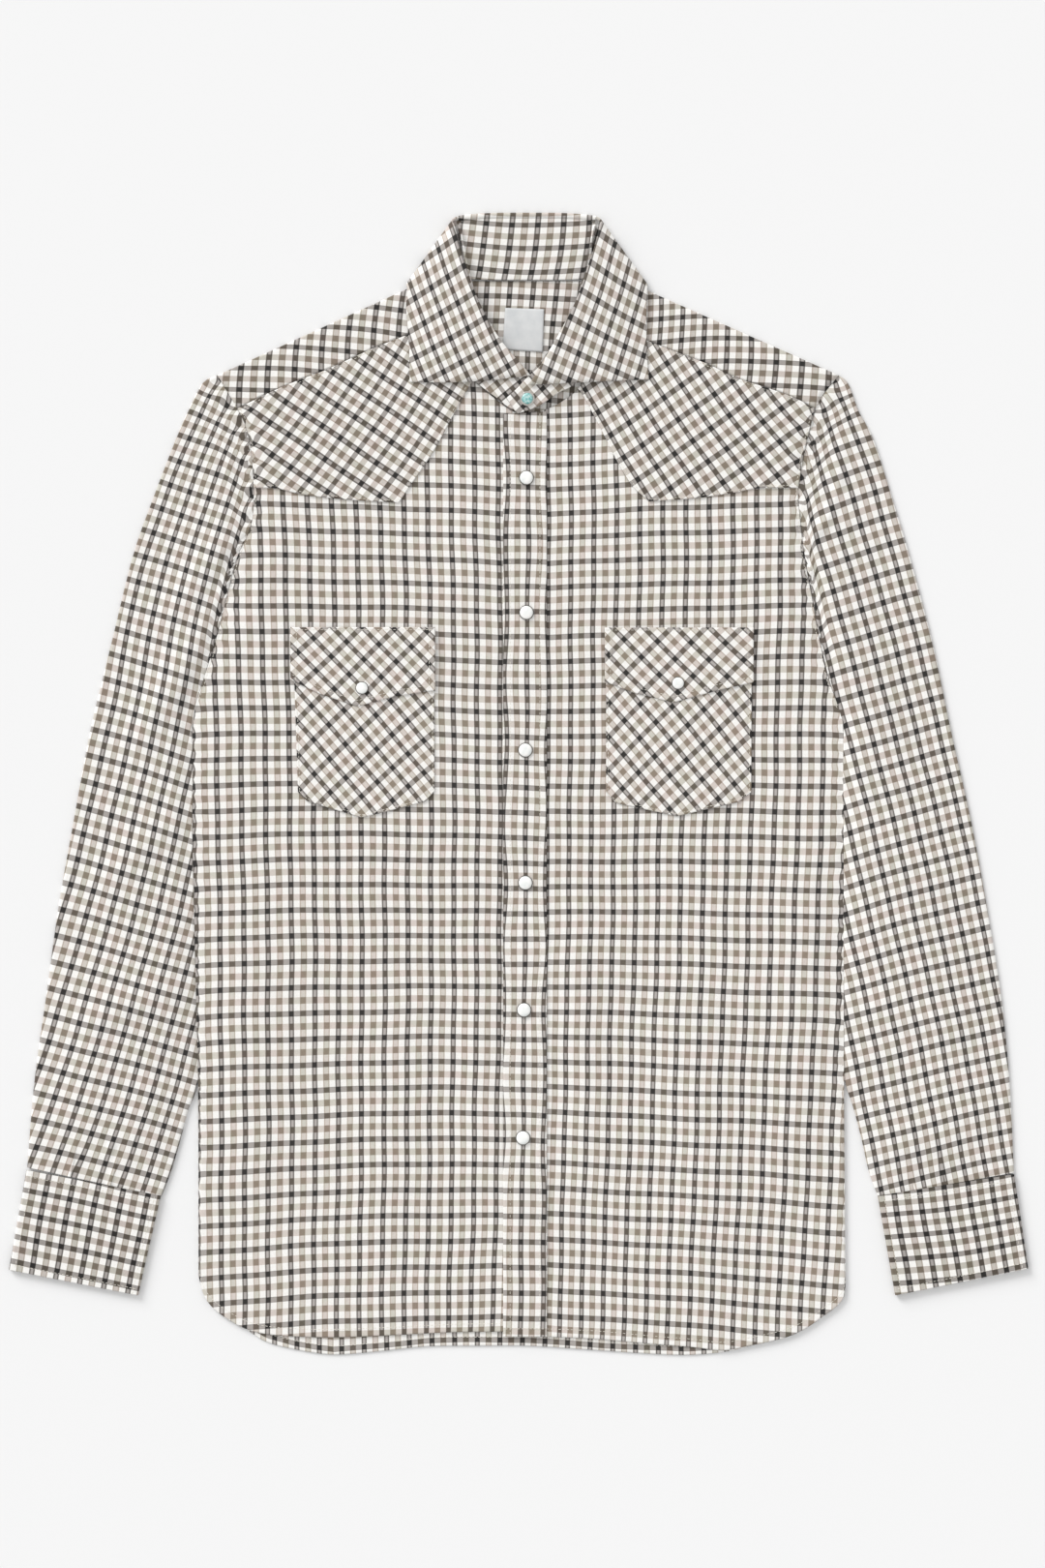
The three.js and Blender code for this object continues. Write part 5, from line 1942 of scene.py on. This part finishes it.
    def make_leaf(self, wardrobe: Wardrobe) -> None:
        """Builds the leaf, which rolls over the stand and falls to its free edge.

        Args:
            wardrobe: The materials of the shirt.
        """
        rows = self.rows(self.leaf_back, self.leaf_left, self.leaf_right)
        roll, end = rows[:, 0:2], rows[:, 2:4]
        roll_z, end_z, under_z, bow = rows[:, 4], rows[:, 5], rows[:, 6], rows[:, 7]
        fall = end - roll
        reach = np.linalg.norm(fall, axis=1)
        toward = fall / reach[:, None]
        radius = (roll_z - under_z) / 2
        size = np.maximum(np.abs(radius), self.tightest)
        centre_z = (roll_z + under_z) / 2
        parts = []
        for angle in np.linspace(-math.pi / 2, math.pi / 2, self.TURN_STEPS):
            place = roll + toward * (size * (1 - math.cos(angle)))[:, None]
            parts.append(np.column_stack([place, centre_z + radius * math.sin(angle)]))
        lip = np.column_stack([roll + toward * (size + self.lip)[:, None], under_z])
        front = smooth((roll_z - end_z - 1.0) / 2.0)
        for t in graded(self.leaf_width, 3.2)[1:]:
            place = roll + toward * (size + (reach - size) * t)[:, None]
            place = place - np.array([[0, 1.0]]) * (bow * math.sin(math.pi * t))[:, None]
            drop = front * t + (1 - front) * np.minimum(1, t * 12)
            belly = front * 0.7 * math.sin(math.pi * t)
            parts.append(np.column_stack([place, roll_z + (end_z - roll_z) * drop + belly]))
        middle = np.stack([lip, *parts], axis=1)
        x, y = middle[..., 0], middle[..., 1]
        left = self.leaf_grain[Side.LEFT].cells(x, y)
        right = self.leaf_grain[Side.RIGHT].cells(x, y)
        stand = self.stand_grain.cells(x, y)
        half_width, height = self.behind
        behind = ((y > height) & (np.abs(x - NECK_MIDDLE_X) < half_width))[..., None]
        half = (np.arange(len(rows)) < len(rows) / 2)[:, None, None]
        cells = np.where(half, left, right)
        curl = (np.arange(middle.shape[1]) <= self.TURN_STEPS)[None, :, None]
        cells = np.where(behind & curl, stand, cells)
        piece = self.sheet("cloth_collar_leaf", middle, cells, wardrobe)
        dress(piece, "collar_leaf")

    @staticmethod
    def sheet(name: str, middle: Array, cells: Array, wardrobe: Wardrobe) -> bpy.types.Object:
        """Walls a bent sheet along its own normals.

        Args:
            name: Name of the object.
            middle: Points of the cloth's middle, rows by columns.
            cells: Repeats of the check at them.
            wardrobe: The materials.

        Returns:
            The object.
        """
        along = np.gradient(middle, axis=0)
        across = np.gradient(middle, axis=1)
        normal = np.cross(along, across)
        normal /= np.maximum(np.linalg.norm(normal, axis=-1, keepdims=True), 1e-9)
        away = distances(middle[..., :2])
        nearest = np.minimum.reduce(list(away.values()))
        ease = np.clip(nearest / ROUND_OFF, 0, 1)
        half = (CLOTH / 2 * np.maximum(0.15, np.sqrt(1 - (1 - ease) ** 2)))[..., None]
        points, faces, used = close_sheet(middle + half * normal, middle - half * normal)
        # Painted shade darkens the cloth right along these edges, from this distance
        rim = np.minimum.reduce([away["top"], away["bottom"], away["second"]])
        maps = cloth_maps(cells, rim, Collar.TONE, used)
        return make_object(name, points, faces, [wardrobe.check], maps)


@dataclass
class Label:
    """A bare woven tab inside the back yoke."""

    height: float = 1.75
    thickness: float = 0.45
    bow: float = 0.5
    lines: int = 25

    def make(self, wardrobe: Wardrobe) -> None:
        """Builds the tab, sewn along its top and bottom.

        Args:
            wardrobe: The materials of the shirt.
        """
        share = np.linspace(0, 1, self.lines)
        plan = patch(*four_edges(LABEL), share, share)
        away = distances(plan)
        nearest = np.minimum.reduce(list(away.values()))
        half = self.thickness / 2 * np.maximum(0.15, smooth(nearest / 0.8))
        bow = self.bow * np.sin(math.pi * share)[:, None] * np.ones(self.lines)[None]
        middle = self.height + bow
        points, faces, _ = close_sheet(np.dstack([plan, middle + half]),
                                       np.dstack([plan, middle - half]))
        piece = make_object("woven_label", points, faces, [wardrobe.satin])
        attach(piece, "root")
        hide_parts("label")
        log.info("%s: %d points", piece.name, len(piece.data.vertices))


@dataclass
class Snap:
    """One snap: a pressed metal ring with a domed cap in it."""

    node: str
    place: tuple[float, float, float]
    radius: float
    slot: str
    sides: int = 40
    crown: float = 0.445  # height of the cap's middle, to a radius of 1
    profile: tuple[tuple[float, float, int], ...] = (
        (1.0, 0.0, 0), (1.02, 0.08, 0), (1.01, 0.18, 0), (0.98, 0.24, 0), (0.94, 0.25, 0),
        (0.92, 0.2, 0), (0.91, 0.2, 1), (0.89, 0.3, 1), (0.8, 0.37, 1), (0.55, 0.42, 1),
        (0.25, 0.44, 1),
    )

    def make(self, cap: bpy.types.Material, ring: bpy.types.Material) -> None:
        """Turns the snap about its own axis.

        Args:
            cap: Material of the cap.
            ring: Material of the ring.
        """
        x, y, z = self.place
        turn = np.arange(self.sides) * math.tau / self.sides
        rings = [
            np.column_stack([x + r * self.radius * np.cos(turn), y + r * self.radius * np.sin(turn),
                             np.full(self.sides, z + h * self.radius)])
            for r, h, _ in self.profile
        ]
        top = np.array([[x, y, z + self.crown * self.radius]])
        base = np.array([[x, y, z]])
        points = np.vstack([*rings, top, base])
        n = self.sides
        faces, slots = [], []
        for i in range(len(self.profile) - 1):
            for k in range(n):
                j = (k + 1) % n
                faces.append([i * n + k, i * n + j, (i + 1) * n + j, (i + 1) * n + k])
                slots.append(self.profile[i][2])
        last = (len(self.profile) - 1) * n
        for k in range(n):
            j = (k + 1) % n
            faces.append([last + k, last + j, len(points) - 2])
            faces.append([j, k, len(points) - 1])
            slots += [1, 0]
        piece = make_object(f"pressed_{self.node}", points, faces, [ring, cap], slots=slots)
        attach(piece, "root")
        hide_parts(self.node)
        log.info("%s: %d points", piece.name, len(points))


@dataclass
class Snaps:
    """All the snaps of the shirt."""

    radius: float = 5.4
    pocket_radius: float = 4.7
    sunk: float = 0.25  # how far a front snap is pressed into the cloth
    clear: float = 0.1  # how far a pocket snap stands clear of the flap's middle

    def make(self, wardrobe: Wardrobe) -> None:
        """Seats each snap on the cloth under it.

        Args:
            wardrobe: The materials of the shirt.
        """
        for number, (x, y) in enumerate(PLACKET_SNAPS, start=1):
            z = APPLIED_Z + CLOTH / 2 + float(DRAPE.lift(np.array(x), np.array(y))) - self.sunk
            Snap(f"snap_front_{number}", (x, y, z), self.radius, "pearl_cap").make(
                wardrobe.pearl, wardrobe.ring)
        for side, (x, y) in FLAP_SNAPS.items():
            z = FLAP_Z + CLOTH / 2 + float(DRAPE.lift(np.array(x), np.array(y))) + self.clear
            Snap(f"snap_pocket_{side.value}", (x, y, z), self.pocket_radius, "pearl_cap").make(
                wardrobe.pearl, wardrobe.ring)
        stone = Snap("snap_collar", COLLAR_SNAP, self.radius, "stone_cap")
        stone.profile = tuple((r if r > 0.93 else 0.84 * r, h, s) for r, h, s in stone.profile)
        stone.make(wardrobe.stone, wardrobe.pale_ring)


@dataclass
class Studio:
    """Pale table, soft light from the upper left and a camera straight above."""

    photo_scale: float = 0.72  # millimetres to a pixel of the frame
    frame_height: int = 1620
    lens: float = 100.0
    sensor: float = 36.0
    aim: Point = (2.88, 0.0)
    sky: float = 0.80
    sun: float = 2.55
    sun_height: float = 25.0
    sun_turn: float = -140.0
    sun_width: float = 28.0
    table_half: float = 30000.0
    table_gap: float = 0.2  # how far the table lies under the cloth

    def make(self) -> None:
        """Sets the table, the lights and the camera."""
        scene = bpy.context.scene
        scene.view_settings.view_transform = "Standard"
        half = self.table_half
        corners = np.array([[-half, -half, 0], [half, -half, 0], [half, half, 0], [-half, half, 0]])
        table = make_object("table", corners, [[0, 1, 2, 3]], [make_finish(TABLE)])
        table.location.z = -self.table_gap * MM
        world = bpy.data.worlds.new("studio")
        world.use_nodes = True
        world.node_tree.nodes["Background"].inputs["Color"].default_value = (1, 1, 1, 1)
        world.node_tree.nodes["Background"].inputs["Strength"].default_value = self.sky
        scene.world = world
        light = bpy.data.lights.new("window", "SUN")
        light.energy = self.sun
        light.angle = math.radians(self.sun_width)
        lamp = bpy.data.objects.new("window", light)
        lamp.rotation_euler = (math.radians(90 - self.sun_height), 0,
                               math.radians(self.sun_turn))
        scene.collection.objects.link(lamp)
        view = bpy.data.cameras.new("camera")
        view.lens = self.lens
        view.sensor_width = self.sensor
        view.clip_end = 50
        camera = bpy.data.objects.new("camera", view)
        span = self.frame_height * self.photo_scale * MM
        camera.location = (self.aim[0] * MM, self.aim[1] * MM, span * self.lens / self.sensor)
        scene.collection.objects.link(camera)
        scene.camera = camera


def main() -> None:
    """Builds the shirt piece by piece, then the studio."""
    logging.basicConfig(level=logging.INFO, format="%(message)s")
    wardrobe = Wardrobe()
    Body().make(wardrobe)
    Pockets().make(wardrobe)
    Sleeves().make(wardrobe)
    Collar().make(wardrobe)
    Label().make(wardrobe)
    Snaps().make(wardrobe)
    Studio().make()


if __name__ == "__main__":
    main()
